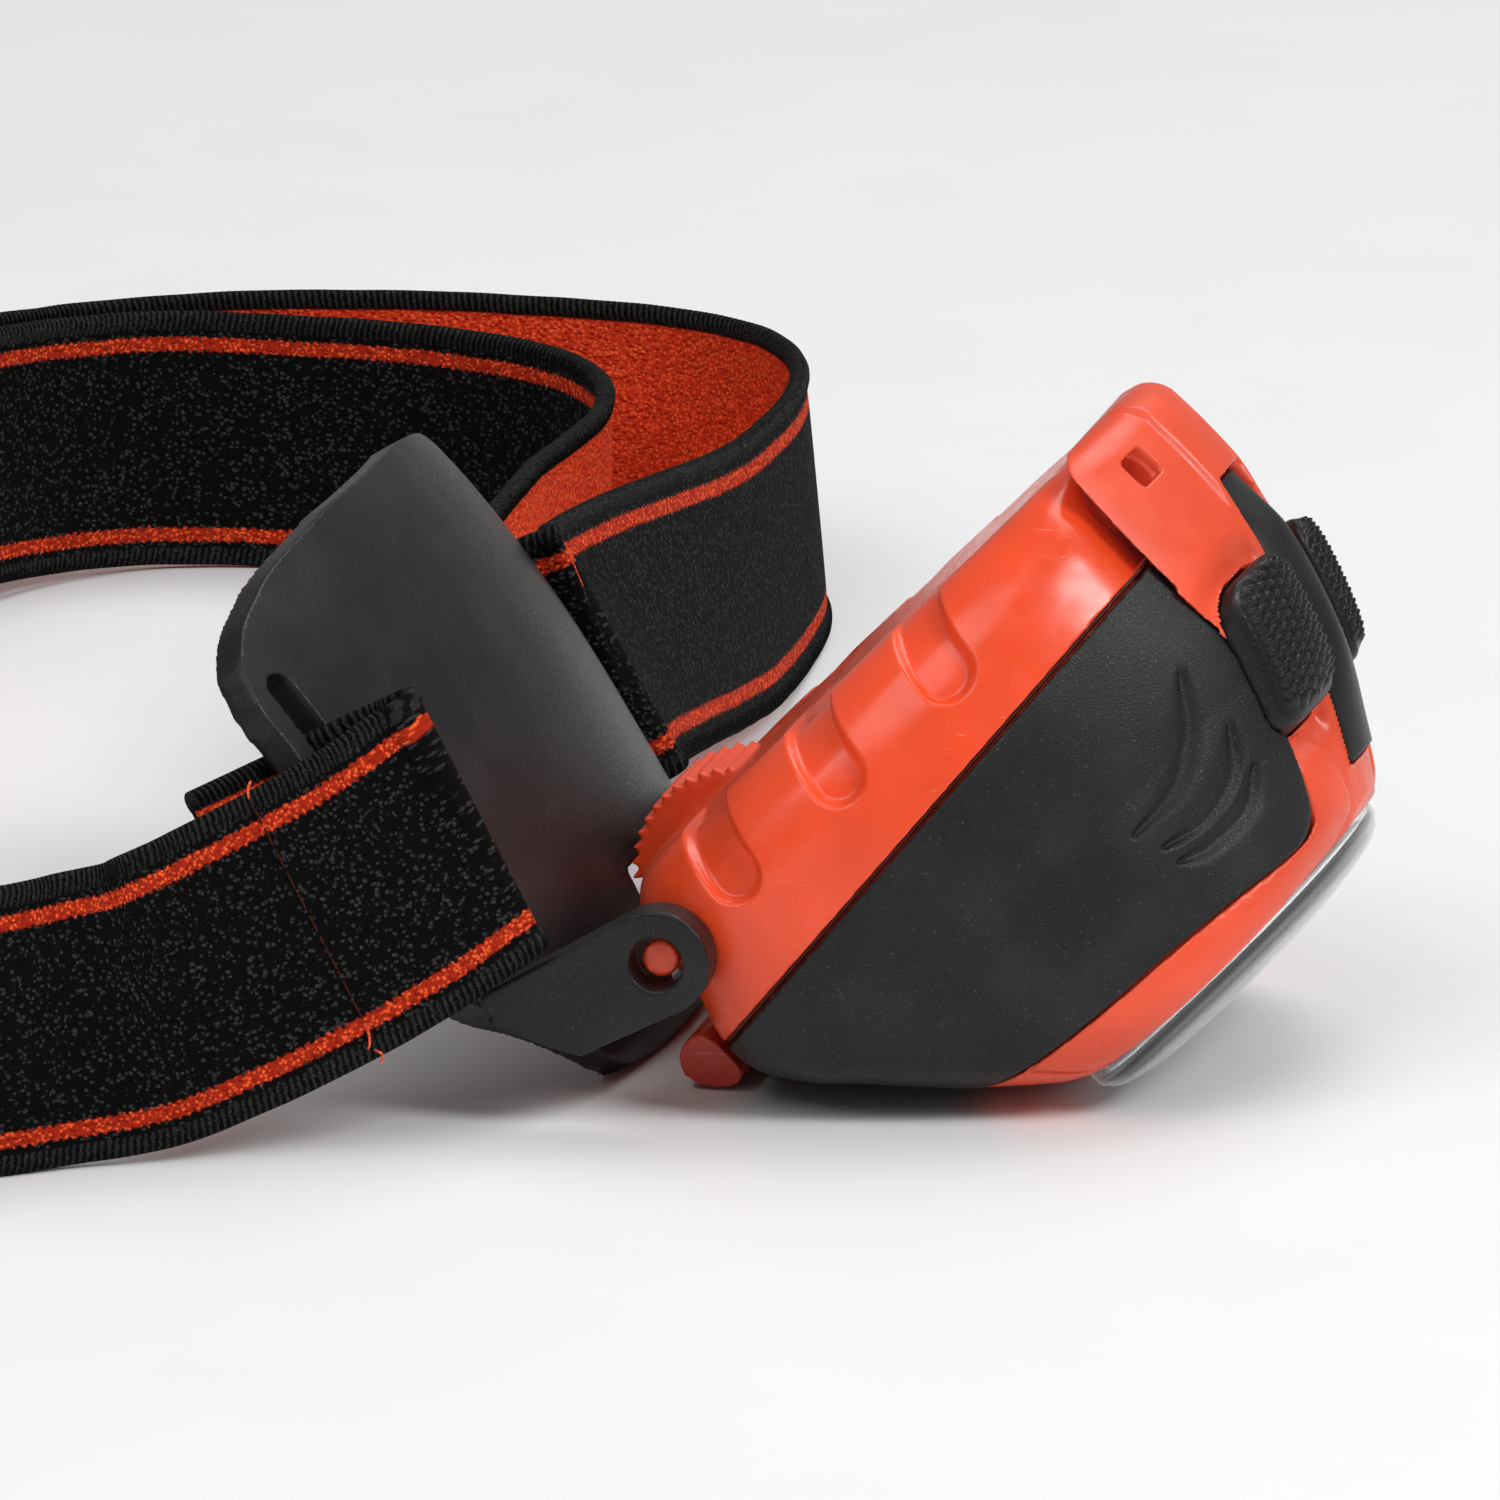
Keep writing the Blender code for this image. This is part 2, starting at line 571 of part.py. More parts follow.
def make_switches_and_screws():
    """Tactile switches under the buttons, and the board's screws."""
    tact = material("switch_body", (0.05, 0.05, 0.055), 0.5)
    steel = material("screw_steel", STEEL, 0.3, 1.0)
    for side in (-1, 1):
        name = "right" if side < 0 else "left"
        add(name + "_switch", box((14.6, side * 9.4 - 2.4, 40.6), (19.2, side * 9.4 + 2.4, 43.4)),
            LAMP, tact)
    green = bpy.data.materials["board_green"]
    add("switch_board", box((13.2, -13.6, 39.3), (20.6, 13.6, 40.3)), LAMP, green)
    for number, (lateral, height) in enumerate(((-15.0, 18.6), (15.0, 18.6), (-15.0, 31.4),
                                                 (15.0, 31.4)), 1):
        head = cylinder(1.9, (16.3, lateral, height), (17.5, lateral, height), 20)
        add(f"board_screw_{number}", head, LAMP, steel)


def make_battery_tray():
    """Black inner tray that closes the front half's back."""
    look = material("tray_black", BLACK, 0.5)
    outline = [(y * 0.86, 22.0 + (z - 22.0) * 0.80) for y, z in body_section(11.0, 0.0, 40)]
    add("battery_tray", prism_x(outline, 9.9, 11.4), LAMP, look)


def make_cells_and_contacts():
    """Three cells lying across the case, with springs and contact plates at their ends."""
    sleeve = material("cell_sleeve", (0.05, 0.07, 0.20), 0.35)
    steel = material("contact_steel", STEEL, 0.25, 1.0)
    for number, height in enumerate(CELL_HEIGHTS, 1):
        turn = 1 if number % 2 else -1
        half = CELL_LENGTH / 2
        profile = ((-half, 3.6), (-half, CELL_RADIUS - 0.4), (-half + 0.4, CELL_RADIUS),
                   (half - 1.8, CELL_RADIUS), (half - 1.2, CELL_RADIUS - 0.7),
                   (half - 1.0, 1.9), (half, 1.7))
        rings = []
        for along, radius in profile:
            rings.append([(CELL_DEPTH + radius * math.cos(a), turn * along,
                           height + radius * math.sin(a))
                          for a in np.radians(np.arange(0, 360, 15))])
        add(f"battery_{number}", loft(rings), LAMP, sleeve)
        start = -turn * (half + GAP)
        turns, steps = 2.5, 10
        curve = bpy.data.curves.new(f"contact_spring_{number}", "CURVE")
        curve.dimensions = "3D"
        curve.bevel_depth = 0.3 * MM
        curve.bevel_resolution = 1
        curve.use_fill_caps = True
        spline = curve.splines.new("POLY")
        count = int(turns * steps) + 1
        spline.points.add(count - 1)
        for index in range(count):
            share = index / (count - 1)
            angle = 2 * math.pi * turns * share
            radius = 3.4 - 1.2 * share
            along = start - turn * (0.35 + 1.3 * (1 - share))
            spline.points[index].co = ((CELL_DEPTH + radius * math.cos(angle)) * MM, along * MM,
                                       (height + radius * math.sin(angle)) * MM, 1.0)
        curve.materials.append(steel)
        spring = bpy.data.objects.new(f"contact_spring_{number}", curve)
        spring.parent = LAMP
        parts.objects.link(spring)
    for side in (-1, 1):
        name = "right" if side < 0 else "left"
        plate = box((-1.9, side * 24.9 - 0.2, 0.2), (5.4, side * 24.9 + 0.2, 27.8))
        add("contact_plate_" + name, plate, LAMP, steel)


def make_seal():
    """Rubber seal in the case seam, seen as a dark line."""
    look = material("seal_rubber", (0.05, 0.01, 0.01), 0.6)
    depths = (1.0, 6.0, 9.0, 11.0)
    seal = add("seal_ring", body_solid(depths, -SHELL - 0.35, 40), LAMP, look)
    slab = []
    for height in (-30.0, HOOD_LINE - SHELL - 0.5):
        middle = SEAM_AT_HINGE - SEAM_SLOPE * height - 0.9
        slab.append((middle, height))
    (low_x, low_z), (high_x, high_z) = slab
    outline = [(low_x - 0.8, low_z), (low_x + 0.8, low_z), (high_x + 0.8, high_z),
               (high_x - 0.8, high_z)]
    boolean(seal, "INTERSECT", add("seal_slab", prism_y(outline, -60, 60), LAMP))
    hole = [(y, min(z, HOOD_LINE - SHELL - 1.9)) for y, z in body_section(7.0, -SHELL - 1.6, 40)]
    boolean(seal, "DIFFERENCE", add("seal_hole", prism_x(hole, -20.0, 40.0), LAMP))


def make_latch():
    """Finger tab under the case that lets the front half swing open."""
    look = material("latch_orange", (0.55, 0.05, 0.02), 0.4)
    outline = [(7.9, -6.7), (7.9, -8.4), (8.7, -9.7), (10.2, -10.2), (11.4, -9.3), (11.8, -8.0),
               (11.4, -6.7)]
    add("latch_tab", bevelled(prism_y(outline, -21.5, 21.5), 0.5, 2), LAMP, look)


def make_leads():
    """Two short insulated leads from the battery tray to the LED board."""
    for name, lateral, colour in (("lead_red", -8.0, (0.6, 0.03, 0.02)),
                                  ("lead_black", -4.0, BLACK)):
        curve = bpy.data.curves.new(name, "CURVE")
        curve.dimensions = "3D"
        curve.bevel_depth = 0.55 * MM
        curve.bevel_resolution = 2
        curve.use_fill_caps = True
        spline = curve.splines.new("POLY")
        route = ((11.8, 12.0), (12.9, 11.6), (14.6, 11.2), (16.0, 11.6), (16.9, 12.8),
                 (17.2, 14.6), (17.0, 16.6), (16.4, 18.2))
        spline.points.add(len(route) - 1)
        for point, (depth, height) in zip(spline.points, route):
            point.co = (depth * MM, lateral * MM, height * MM, 1.0)
        curve.materials.append(material(name + "_sleeve", colour, 0.45))
        lead = bpy.data.objects.new(name, curve)
        lead.parent = LAMP
        parts.objects.link(lead)


# ---- headband ----------------------------------------------------------------------
# Stations along the webbing: bottom edge (x, y, z) in the bench frame, and how far the
# webbing leans back there, in degrees. It starts at the sewn end behind the plate's right
# slot, runs round the back, weaves over the adjuster, follows the left side, turns round
# the left slot's bar and comes back to be sewn round the adjuster's middle bar.
ADJUSTER_PLACE = (-118.2, 109.0)
ADJUSTER_ALONG = (0.146, 0.989)
ADJUSTER_LIFT = 2.6            # webbing's lower edge above the table inside the adjuster
BAR_SPACING = 8.4
BAR_HALF_WIDTH = 1.2
BAR_HALF_THICKNESS = 1.0


def by_adjuster(along, out, lift=ADJUSTER_LIFT):
    """A station given by its place along and outside the adjuster."""
    return (ADJUSTER_PLACE[0] + along * ADJUSTER_ALONG[0] - out * ADJUSTER_ALONG[1],
            ADJUSTER_PLACE[1] + along * ADJUSTER_ALONG[1] + out * ADJUSTER_ALONG[0], lift, 0.0)


NEAR_STATIONS = (
    (-28.2, -46.2, 7.0, 28.0), (-24.6, -41.8, 8.3, 29.0), (-21.7, -38.2, 9.4, 29.6),
    (-19.6, -36.5, 10.6, 29.7), (-16.2, -36.4, 12.4, 29.7), (-12.6, -35.9, 14.2, 29.7), (-10.2, -36.2, 15.5, 29.7),
    (-9.7, -37.6, 15.6, 29.7), (-11.6, -39.6, 14.2, 29.6), (-14.8, -42.2, 12.0, 29.3),
    (-19.2, -44.8, 9.4, 28.6), (-24.6, -47.6, 6.6, 26.5), (-30.6, -50.4, 3.8, 22.0),
    (-37.2, -53.4, 1.4, 14.0), (-44.6, -56.6, 0.3, 6.0), (-50.8, -61.0, 0.0, 0.0),
    (-58.6, -66.8, 0.0, 0.0), (-70.0, -72.6, 0.0, 0.0), (-84.0, -75.4, 0.0, 0.0),
    (-98.0, -71.8, 0.0, 0.0), (-110.0, -61.4, 0.0, 0.0), (-118.8, -43.0, 0.0, 0.0),
    (-124.0, -18.0, 0.0, 0.0), (-126.2, 14.0, 0.0, 0.0), (-125.2, 46.0, 0.4, 0.0),
    (-122.6, 74.0, 1.6, 0.0),
)
WEAVE_STATIONS = (
    (-16.0, -1.2), (-12.0, -2.0), (-8.6, -2.25), (-6.3, -1.7), (-5.1, 0.0), (-4.3, 1.7),
    (-2.7, 3.6), (0.0, 4.1), (2.7, 3.5), (4.3, 1.7), (5.1, 0.0), (6.3, -1.7), (8.6, -2.25),
    (12.0, -2.0), (18.0, -0.6),
)
FAR_STATIONS = (
    (-113.6, 136.0, 1.4, 0.0), (-110.4, 146.0, 0.6, 0.0), (-105.0, 154.6, 0.0, 0.0),
    (-97.4, 161.2, 0.0, 0.0), (-87.4, 166.7, 0.0, 0.0), (-76.3, 169.8, 0.0, 0.0),
    (-64.6, 170.9, 0.0, 0.0), (-52.5, 170.2, 0.0, 0.0), (-42.1, 167.6, 0.0, 1.0),
    (-33.6, 162.0, 0.0, 3.0), (-27.4, 152.6, 0.0, 5.0), (-24.2, 140.6, 0.0, 6.0),
    (-22.6, 124.0, 0.3, 8.0), (-21.2, 106.0, 1.6, 11.0), (-20.2, 88.0, 4.0, 15.0),
    (-19.2, 70.0, 6.8, 20.0), (-18.0, 55.0, 9.2, 25.0), (-16.6, 45.6, 10.8, 28.6),
    (-15.2, 40.6, 12.1, 29.7), (-14.5, 37.9, 12.6, 29.7), (-15.5, 36.5, 12.1, 29.7),
    (-17.4, 36.4, 11.3, 29.7), (-19.7, 36.6, 10.3, 29.7), (-21.7, 38.3, 9.3, 29.7),
    (-22.9, 41.8, 8.8, 29.4), (-24.8, 48.0, 8.0, 28.0), (-28.4, 60.0, 6.4, 23.0),
    (-33.4, 80.0, 4.0, 15.0), (-38.2, 98.0, 1.6, 8.0), (-41.2, 114.0, 0.3, 2.0),
    (-42.6, 128.0, 0.0, 0.0), (-45.6, 140.0, 0.0, 0.0), (-52.0, 149.0, 0.0, 0.0),
    (-63.0, 155.2, 0.0, 0.0), (-78.6, 157.4, 0.0, 0.0), (-92.0, 154.6, 0.4, 0.0),
    (-100.4, 146.4, 1.0, 0.0), (-105.4, 136.0, 1.8, 0.0),
)
SEWN_END_STATIONS = (
    (18.5, -6.3), (13.5, -5.0), (9.5, -4.2), (6.0, -3.5), (2.8, -2.7), (0.4, -2.3),
    (-1.7, -1.95), (-2.6, 0.0), (-1.7, 1.95), (0.4, 2.2),
)
WEB_STATIONS = (NEAR_STATIONS + tuple(by_adjuster(*place) for place in WEAVE_STATIONS)
                + FAR_STATIONS + tuple(by_adjuster(*place) for place in SEWN_END_STATIONS))
WEB_STEPS = 3


def smooth_route(stations, steps):
    """Catmull-Rom curve through the stations, with steps points to each span."""
    knots = [np.array(station, float) for station in stations]
    knots = [2 * knots[0] - knots[1]] + knots + [2 * knots[-1] - knots[-2]]
    route = []
    for before, start, end, after in zip(knots, knots[1:], knots[2:], knots[3:]):
        for step in range(steps):
            t = step / steps
            route.append(0.5 * (2 * start + (end - before) * t
                                + (2 * before - 5 * start + 4 * end - after) * t**2
                                + (3 * start - before - 3 * end + after) * t**3))
    route.append(knots[-2])
    return route


def make_headband():
    """The whole webbing as one ribbon standing on its edge."""
    look = material("webbing", (0.02, 0.02, 0.021), 0.85)
    route = smooth_route(WEB_STATIONS, WEB_STEPS)
    rings = []
    for index, station in enumerate(route):
        ahead = route[min(index + 1, len(route) - 1)][:3]
        behind = route[max(index - 1, 0)][:3]
        run = Vector(ahead - behind).normalized()
        lean = math.radians(station[3])
        across = Vector((-math.sin(lean), 0.0, math.cos(lean)))
        across = (across - run * across.dot(run)).normalized()
        face = run.cross(across).normalized() * (WEB_THICKNESS / 2)
        low = Vector(station[:3])
        low.z = max(low.z, WEB_THICKNESS / 2 * math.sin(lean))
        high = low + across * WEB_WIDTH
        rings.append([low - face, high - face, high + face, low + face])
    add("headband", loft(rings), FRAME, look)


def make_adjuster():
    """Three-bar slide that sets the headband's length."""
    look = material("adjuster_black", (0.02, 0.02, 0.022), 0.4)
    end = BAR_SPACING + BAR_HALF_WIDTH
    top = 2 * ADJUSTER_LIFT + WEB_WIDTH
    rail = ADJUSTER_LIFT - GAP
    frame = bevelled(box((-BAR_HALF_THICKNESS, -end, 0.1),
                         (BAR_HALF_THICKNESS, end, top - 0.1)), 0.5)
    adjuster = add("strap_adjuster", frame, FRAME, look)
    adjuster.location = Vector((*ADJUSTER_PLACE, 0.0)) * MM
    adjuster.rotation_euler = (0.0, 0.0, -math.atan2(*ADJUSTER_ALONG))
    for name, side in (("adjuster_slot_rear", -1), ("adjuster_slot_front", 1)):
        near, far = side * BAR_HALF_WIDTH, side * (BAR_SPACING - BAR_HALF_WIDTH)
        cutter = add(name, box((-6.0, min(near, far), rail), (6.0, max(near, far), top - rail)),
                     FRAME)
        cutter.location = adjuster.location
        cutter.rotation_euler = adjuster.rotation_euler
        boolean(adjuster, "DIFFERENCE", cutter)


make_bracket_plate()
make_rear_cover()
make_front_housing()
make_grips()
make_top_panel()
make_buttons()
make_optics()
make_switches_and_screws()
make_battery_tray()
make_cells_and_contacts()
make_seal()
make_latch()
make_leads()
make_headband()
make_adjuster()
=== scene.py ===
"""Looks for the headlamp: detailed shells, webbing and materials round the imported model.

Shapes are made in millimetres in three frames of their own, then placed in metres: the
lamp frame (x = depth towards the lens, y = across, z = height above the hinge axis), the
plate frame (x = out of the forehead plate, z = up along it) and the bench frame (the table
under the hinge).
"""
import json
import math

import bmesh
import bpy
import numpy as np
from mathutils import Matrix, Vector


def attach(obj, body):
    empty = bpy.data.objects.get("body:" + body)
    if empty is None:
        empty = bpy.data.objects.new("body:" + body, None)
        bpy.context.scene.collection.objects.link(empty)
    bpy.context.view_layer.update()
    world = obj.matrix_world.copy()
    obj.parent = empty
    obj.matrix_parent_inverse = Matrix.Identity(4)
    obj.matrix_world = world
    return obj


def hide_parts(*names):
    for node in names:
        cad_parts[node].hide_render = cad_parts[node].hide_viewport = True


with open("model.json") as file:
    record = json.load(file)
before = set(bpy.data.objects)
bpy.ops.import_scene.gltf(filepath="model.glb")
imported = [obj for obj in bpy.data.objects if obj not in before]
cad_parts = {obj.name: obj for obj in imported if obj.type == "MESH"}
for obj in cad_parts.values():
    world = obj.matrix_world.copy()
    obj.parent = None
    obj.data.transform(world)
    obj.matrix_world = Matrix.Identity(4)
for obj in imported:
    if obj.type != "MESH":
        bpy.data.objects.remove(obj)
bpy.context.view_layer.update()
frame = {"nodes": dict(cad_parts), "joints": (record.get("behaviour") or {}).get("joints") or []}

# ---- frames ------------------------------------------------------------------------
MM = 0.001
joints = {joint["name"]: joint for joint in frame["joints"]}
HINGE = Vector(joints["lamp_tilt"]["pos_m"])
LAMP_TILT = math.radians(45.0)
PLATE_LEAN = math.radians(29.7)
BENCH = Matrix.Translation((HINGE.x, HINGE.y, 0.0)) @ Matrix.Scale(MM, 4)
LAMP = Matrix.Translation(HINGE) @ Matrix.Rotation(LAMP_TILT, 4, "Y") @ Matrix.Scale(MM, 4)
PLATE = Matrix.Translation(HINGE) @ Matrix.Rotation(-PLATE_LEAN, 4, "Y") @ Matrix.Scale(MM, 4)

scene = bpy.context.scene
pieces = bpy.data.collections.new("looks")
scene.collection.children.link(pieces)


# ---- node helpers ------------------------------------------------------------------
class Shader:
    """A material under construction: makes nodes and joins their sockets."""

    def __init__(self, name, colour, roughness, **constants):
        self.material = bpy.data.materials.new(name)
        self.material.use_nodes = True
        self.tree = self.material.node_tree
        self.bsdf = self.tree.nodes["Principled BSDF"]
        self.set("Base Color", (*colour, 1.0))
        self.set("Roughness", roughness)
        for socket, value in constants.items():
            self.set(socket.replace("_", " "), value)

    def set(self, socket, value):
        """A constant, or a link from another node's output."""
        self.put(self.bsdf.inputs[socket], value)

    def put(self, target, value):
        if isinstance(value, bpy.types.NodeSocket):
            self.tree.links.new(value, target)
        else:
            target.default_value = value

    def node(self, kind, **settings):
        made = self.tree.nodes.new(kind)
        for key, value in settings.items():
            setattr(made, key, value)
        return made

    def place(self):
        """Position fixed to the piece, in metres."""
        return self.node("ShaderNodeTexCoord").outputs["Object"]

    def stretched(self, scale):
        """Position with each axis scaled on its own."""
        made = self.node("ShaderNodeMapping")
        made.inputs["Scale"].default_value = scale
        self.put(made.inputs["Vector"], self.place())
        return made.outputs["Vector"]

    def noise(self, scale, detail=2.0, vector=None, rough=0.5):
        made = self.node("ShaderNodeTexNoise")
        made.inputs["Scale"].default_value = scale
        made.inputs["Detail"].default_value = detail
        made.inputs["Roughness"].default_value = rough
        self.put(made.inputs["Vector"], vector or self.place())
        return made.outputs["Fac"]

    def cells(self, scale, vector=None):
        made = self.node("ShaderNodeTexVoronoi")
        made.inputs["Scale"].default_value = scale
        self.put(made.inputs["Vector"], vector or self.place())
        return made.outputs["Distance"]

    def calc(self, operation, *values):
        made = self.node("ShaderNodeMath", operation=operation)
        for socket, value in zip(made.inputs, values):
            self.put(socket, value)
        return made.outputs[0]

    def ramp(self, value, low, high, to_low=0.0, to_high=1.0):
        """Smooth step from one level to another between two input values."""
        made = self.node("ShaderNodeMapRange", interpolation_type="SMOOTHSTEP")
        for socket, number in zip(made.inputs, (value, low, high, to_low, to_high)):
            self.put(socket, number)
        return made.outputs["Result"]

    def mix(self, factor, first, second):
        made = self.node("ShaderNodeMix", data_type="RGBA")
        self.put(made.inputs["Factor"], factor)
        self.put(made.inputs[6], first if not isinstance(first, tuple) else (*first, 1.0))
        self.put(made.inputs[7], second if not isinstance(second, tuple) else (*second, 1.0))
        return made.outputs[2]

    def bump(self, height, strength, distance, under=None):
        made = self.node("ShaderNodeBump")
        made.inputs["Strength"].default_value = strength
        made.inputs["Distance"].default_value = distance
        self.put(made.inputs["Height"], height)
        if under:
            self.put(made.inputs["Normal"], under)
        return made.outputs["Normal"]


def moulded_plastic(name, colour, roughness, grain=0.12, wear=0.5, **constants):
    """Injection-moulded plastic: fine orange peel, uneven gloss and a few hair scratches."""
    s = Shader(name, colour, roughness, **constants)
    broad = s.noise(60.0, 3.0)
    paler = tuple(min(1.0, channel * 1.10 + 0.006) for channel in colour)
    deeper = tuple(channel * 0.90 for channel in colour)
    tint = s.mix(s.ramp(broad, 0.35, 0.65), deeper, paler)
    hair = s.noise(1.0, 1.0, s.stretched((260.0, 2600.0, 4200.0)))
    scratch = s.calc("MULTIPLY", s.ramp(hair, 0.735, 0.76), s.ramp(s.noise(90.0), 0.5, 0.62))
    s.set("Base Color", s.mix(s.calc("MULTIPLY", scratch, 0.35 * wear), tint, (0.9, 0.75, 0.68)))
    cloud = s.ramp(s.noise(420.0, 3.0), 0.3, 0.7, roughness - 0.05, roughness + 0.07)
    s.set("Roughness", s.calc("ADD", cloud, s.calc("MULTIPLY", scratch, 0.2 * wear)))
    peel = s.bump(s.noise(3800.0, 2.0), grain, 0.00004)
    s.set("Normal", s.bump(s.noise(900.0, 1.0), 0.035, 0.0002, peel))
    return s.material


def grained_rubber(name, colour, roughness, sparkle_grey=0.10, grain=0.45):
    """Soft black rubber with a fine grain, and painted sparkle: light grey specks in the base
    colour.
    """
    s = Shader(name, colour, roughness, Specular_IOR_Level=0.30)
    fine = s.noise(5200.0, 2.0, rough=0.7)
    bright = s.ramp(fine, 0.66, 0.74)
    broad = s.ramp(s.noise(130.0, 4.0), 0.35, 0.75)
    ground = s.mix(broad, colour, tuple(channel * 1.5 + 0.004 for channel in colour))
    # Painted sparkle: light grey specks mixed into the base colour where the fine grain noise is
    # high.
    s.set("Base Color", s.mix(s.calc("MULTIPLY", bright, 0.8), ground, (sparkle_grey,) * 3))
    s.set("Roughness", s.ramp(fine, 0.3, 0.75, roughness + 0.08, roughness - 0.14))
    s.set("Normal", s.bump(fine, grain, 0.00008))
    return s.material


def brushed_metal(name, colour, roughness):
    """Plated metal with fine drawn lines."""
    s = Shader(name, colour, roughness, Metallic=1.0)
    lines = s.noise(1.0, 3.0, s.stretched((900.0, 9000.0, 9000.0)))
    s.set("Roughness", s.ramp(lines, 0.3, 0.7, roughness - 0.06, roughness + 0.1))
    s.set("Base Color", s.mix(s.ramp(s.noise(300.0), 0.4, 0.7), colour,
                              tuple(channel * 0.8 for channel in colour)))
    s.set("Normal", s.bump(lines, 0.1, 0.00003))
    return s.material


ORANGE = (0.84, 0.070, 0.016)
case_orange = moulded_plastic("case_orange_look", ORANGE, 0.24, 0.09,
                              Subsurface_Weight=0.12, Subsurface_Scale=0.0012,
                              Subsurface_Radius=(1.0, 0.32, 0.12))
housing_orange = moulded_plastic("housing_orange_look", (0.80, 0.078, 0.026), 0.34, 0.14,
                                 Subsurface_Weight=0.12, Subsurface_Scale=0.0012,
                                 Subsurface_Radius=(1.0, 0.32, 0.12))
# Darker copy of the case orange: painted shade, for the shadow under the lamp where the lip sits.
latch_orange = moulded_plastic("latch_orange_look", (0.56, 0.036, 0.012), 0.36, 0.10,
                               Subsurface_Weight=0.2, Subsurface_Scale=0.001,
                               Subsurface_Radius=(1.0, 0.3, 0.1))
plate_black = grained_rubber("plate_black_look", (0.0075, 0.0075, 0.0085), 0.38, 0.10, 0.35)
adjuster_black = moulded_plastic("adjuster_black_look", (0.012, 0.012, 0.013), 0.42, 0.2)
panel_black = grained_rubber("panel_black_look", (0.010, 0.010, 0.011), 0.40, 0.05, 0.2)
grip_black = grained_rubber("grip_black_look", (0.0075, 0.0078, 0.0085), 0.44, 0.16, 0.7)
button_black = grained_rubber("button_black_look", (0.006, 0.006, 0.0065), 0.36, 0.16, 0.3)
seal_red = grained_rubber("seal_red_look", (0.055, 0.006, 0.005), 0.5, 0.08, 0.2)


# ---- mesh helpers ------------------------------------------------------------------
def mesh_object(name, vertices, faces, place=None):
    """A new mesh object from arrays, with its vertices moved by a matrix."""
    mesh = bpy.data.meshes.new(name)
    mesh.from_pydata(np.asarray(vertices, float).tolist(), [],
                     [tuple(int(i) for i in face) for face in faces])
    mesh.validate()
    if place is not None:
        mesh.transform(place)
    made = bpy.data.objects.new(name, mesh)
    pieces.objects.link(made)
    return made


def ring_faces(rows, columns, around=True, first=0):
    """Quads between successive rows of points, joined round when around is True."""
    row = np.arange(rows - 1)[:, None]
    column = np.arange(columns if around else columns - 1)[None, :]
    after = (column + 1) % columns
    corners = (row * columns + column, row * columns + after,
               (row + 1) * columns + after, (row + 1) * columns + column)
    return np.stack([c + first for c in np.broadcast_arrays(*corners)], -1).reshape(-1, 4).tolist()


def loft(name, rings, place=None, closed=False):
    """A solid through rings of points: capped at both ends, or joined end to start."""
    rings = np.asarray(rings, float)
    rows, columns = rings.shape[:2]
    faces = ring_faces(rows, columns)
    if closed:
        last = (rows - 1) * columns
        faces += [(last + k, last + (k + 1) % columns, (k + 1) % columns, k)
                  for k in range(columns)]
    else:
        faces += [tuple(range(columns))[::-1],
                  tuple(range((rows - 1) * columns, rows * columns))]
    made = mesh_object(name, rings.reshape(-1, 3), faces, place)
    fix_normals(made.data)
    return made


def fix_normals(mesh):
    """Turn a closed mesh's faces outward."""
    data = bmesh.new()
    data.from_mesh(mesh)
    bmesh.ops.recalc_face_normals(data, faces=data.faces)
    data.to_mesh(mesh)
    data.free()


def boolean(target, operation, *tools):
    """Join, cut or intersect with other objects, which are used up."""
    for tool in tools:
        step = target.modifiers.new(operation.lower(), "BOOLEAN")
        step.operation = operation
        step.solver = "EXACT"
        step.object = tool
        settle(target)
        bpy.data.objects.remove(tool, do_unlink=True)
    return target


def settle(made):
    """Apply every modifier, leaving a plain mesh."""
    graph = bpy.context.evaluated_depsgraph_get()
    graph.update()
    mesh = bpy.data.meshes.new_from_object(made.evaluated_get(graph))
    made.modifiers.clear()
    old = made.data
    made.data = mesh
    if old.users == 0:
        bpy.data.meshes.remove(old)
    return made


def skin(made, voxel, smoothing=4):
    """Remesh evenly, which rounds every edge a little as a mould does."""
    remesh = made.modifiers.new("remesh", "REMESH")
    remesh.mode = "VOXEL"
    remesh.voxel_size = voxel * 1.0
    smooth = made.modifiers.new("smooth", "SMOOTH")
    smooth.factor = 0.5
    smooth.iterations = smoothing
    return settle(made)


def finish_piece(made, look, body, slot, *nodes, place=None):
    """Place a piece, give it its look, hang it on the body it rides on and hide the CAD nodes it
    stands for.
    """
    if place is not None:
        made.data.transform(place)
    made.data.materials.clear()
    made.data.materials.append(look)
    made.data.shade_smooth()
    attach(made, body)
    if nodes:
        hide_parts(*nodes)
    return made


def prism(name, outline, low, high, axis="y"):
    """An outline carried across: (x, z) points along y, (y, z) along x, (x, y) along z."""
    rings = []
    for value in (low, high):
        if axis == "y":
            rings.append([(a, value, b) for a, b in outline])
        elif axis == "x":
            rings.append([(value, a, b) for a, b in outline])
        else:
            rings.append([(a, b, value) for a, b in outline])
    return loft(name, rings)


def block(name, low, high):
    """A box between two corners."""
    outline = [(low[0], low[2]), (high[0], low[2]), (high[0], high[2]), (low[0], high[2])]
    return prism(name, outline, low[1], high[1])


def rounded_rectangle(half_a, half_b, radius, centre=(0.0, 0.0), steps=10):
    points = []
    for sign_a, sign_b, start in ((1, 1, 0), (-1, 1, 90), (-1, -1, 180), (1, -1, 270)):
        for angle in np.radians(np.linspace(start, start + 90, steps)):
            points.append((centre[0] + sign_a * (half_a - radius) + radius * math.cos(angle),
                           centre[1] + sign_b * (half_b - radius) + radius * math.sin(angle)))
    return points


def lathe_y(name, profile, segments=72):
    """A solid of (y, radius) points turned about the y axis."""
    turn = np.radians(np.linspace(0, 360, segments, endpoint=False))
    rings = [[(radius * math.cos(a), y, radius * math.sin(a)) for a in turn]
             for y, radius in profile]
    return loft(name, rings)


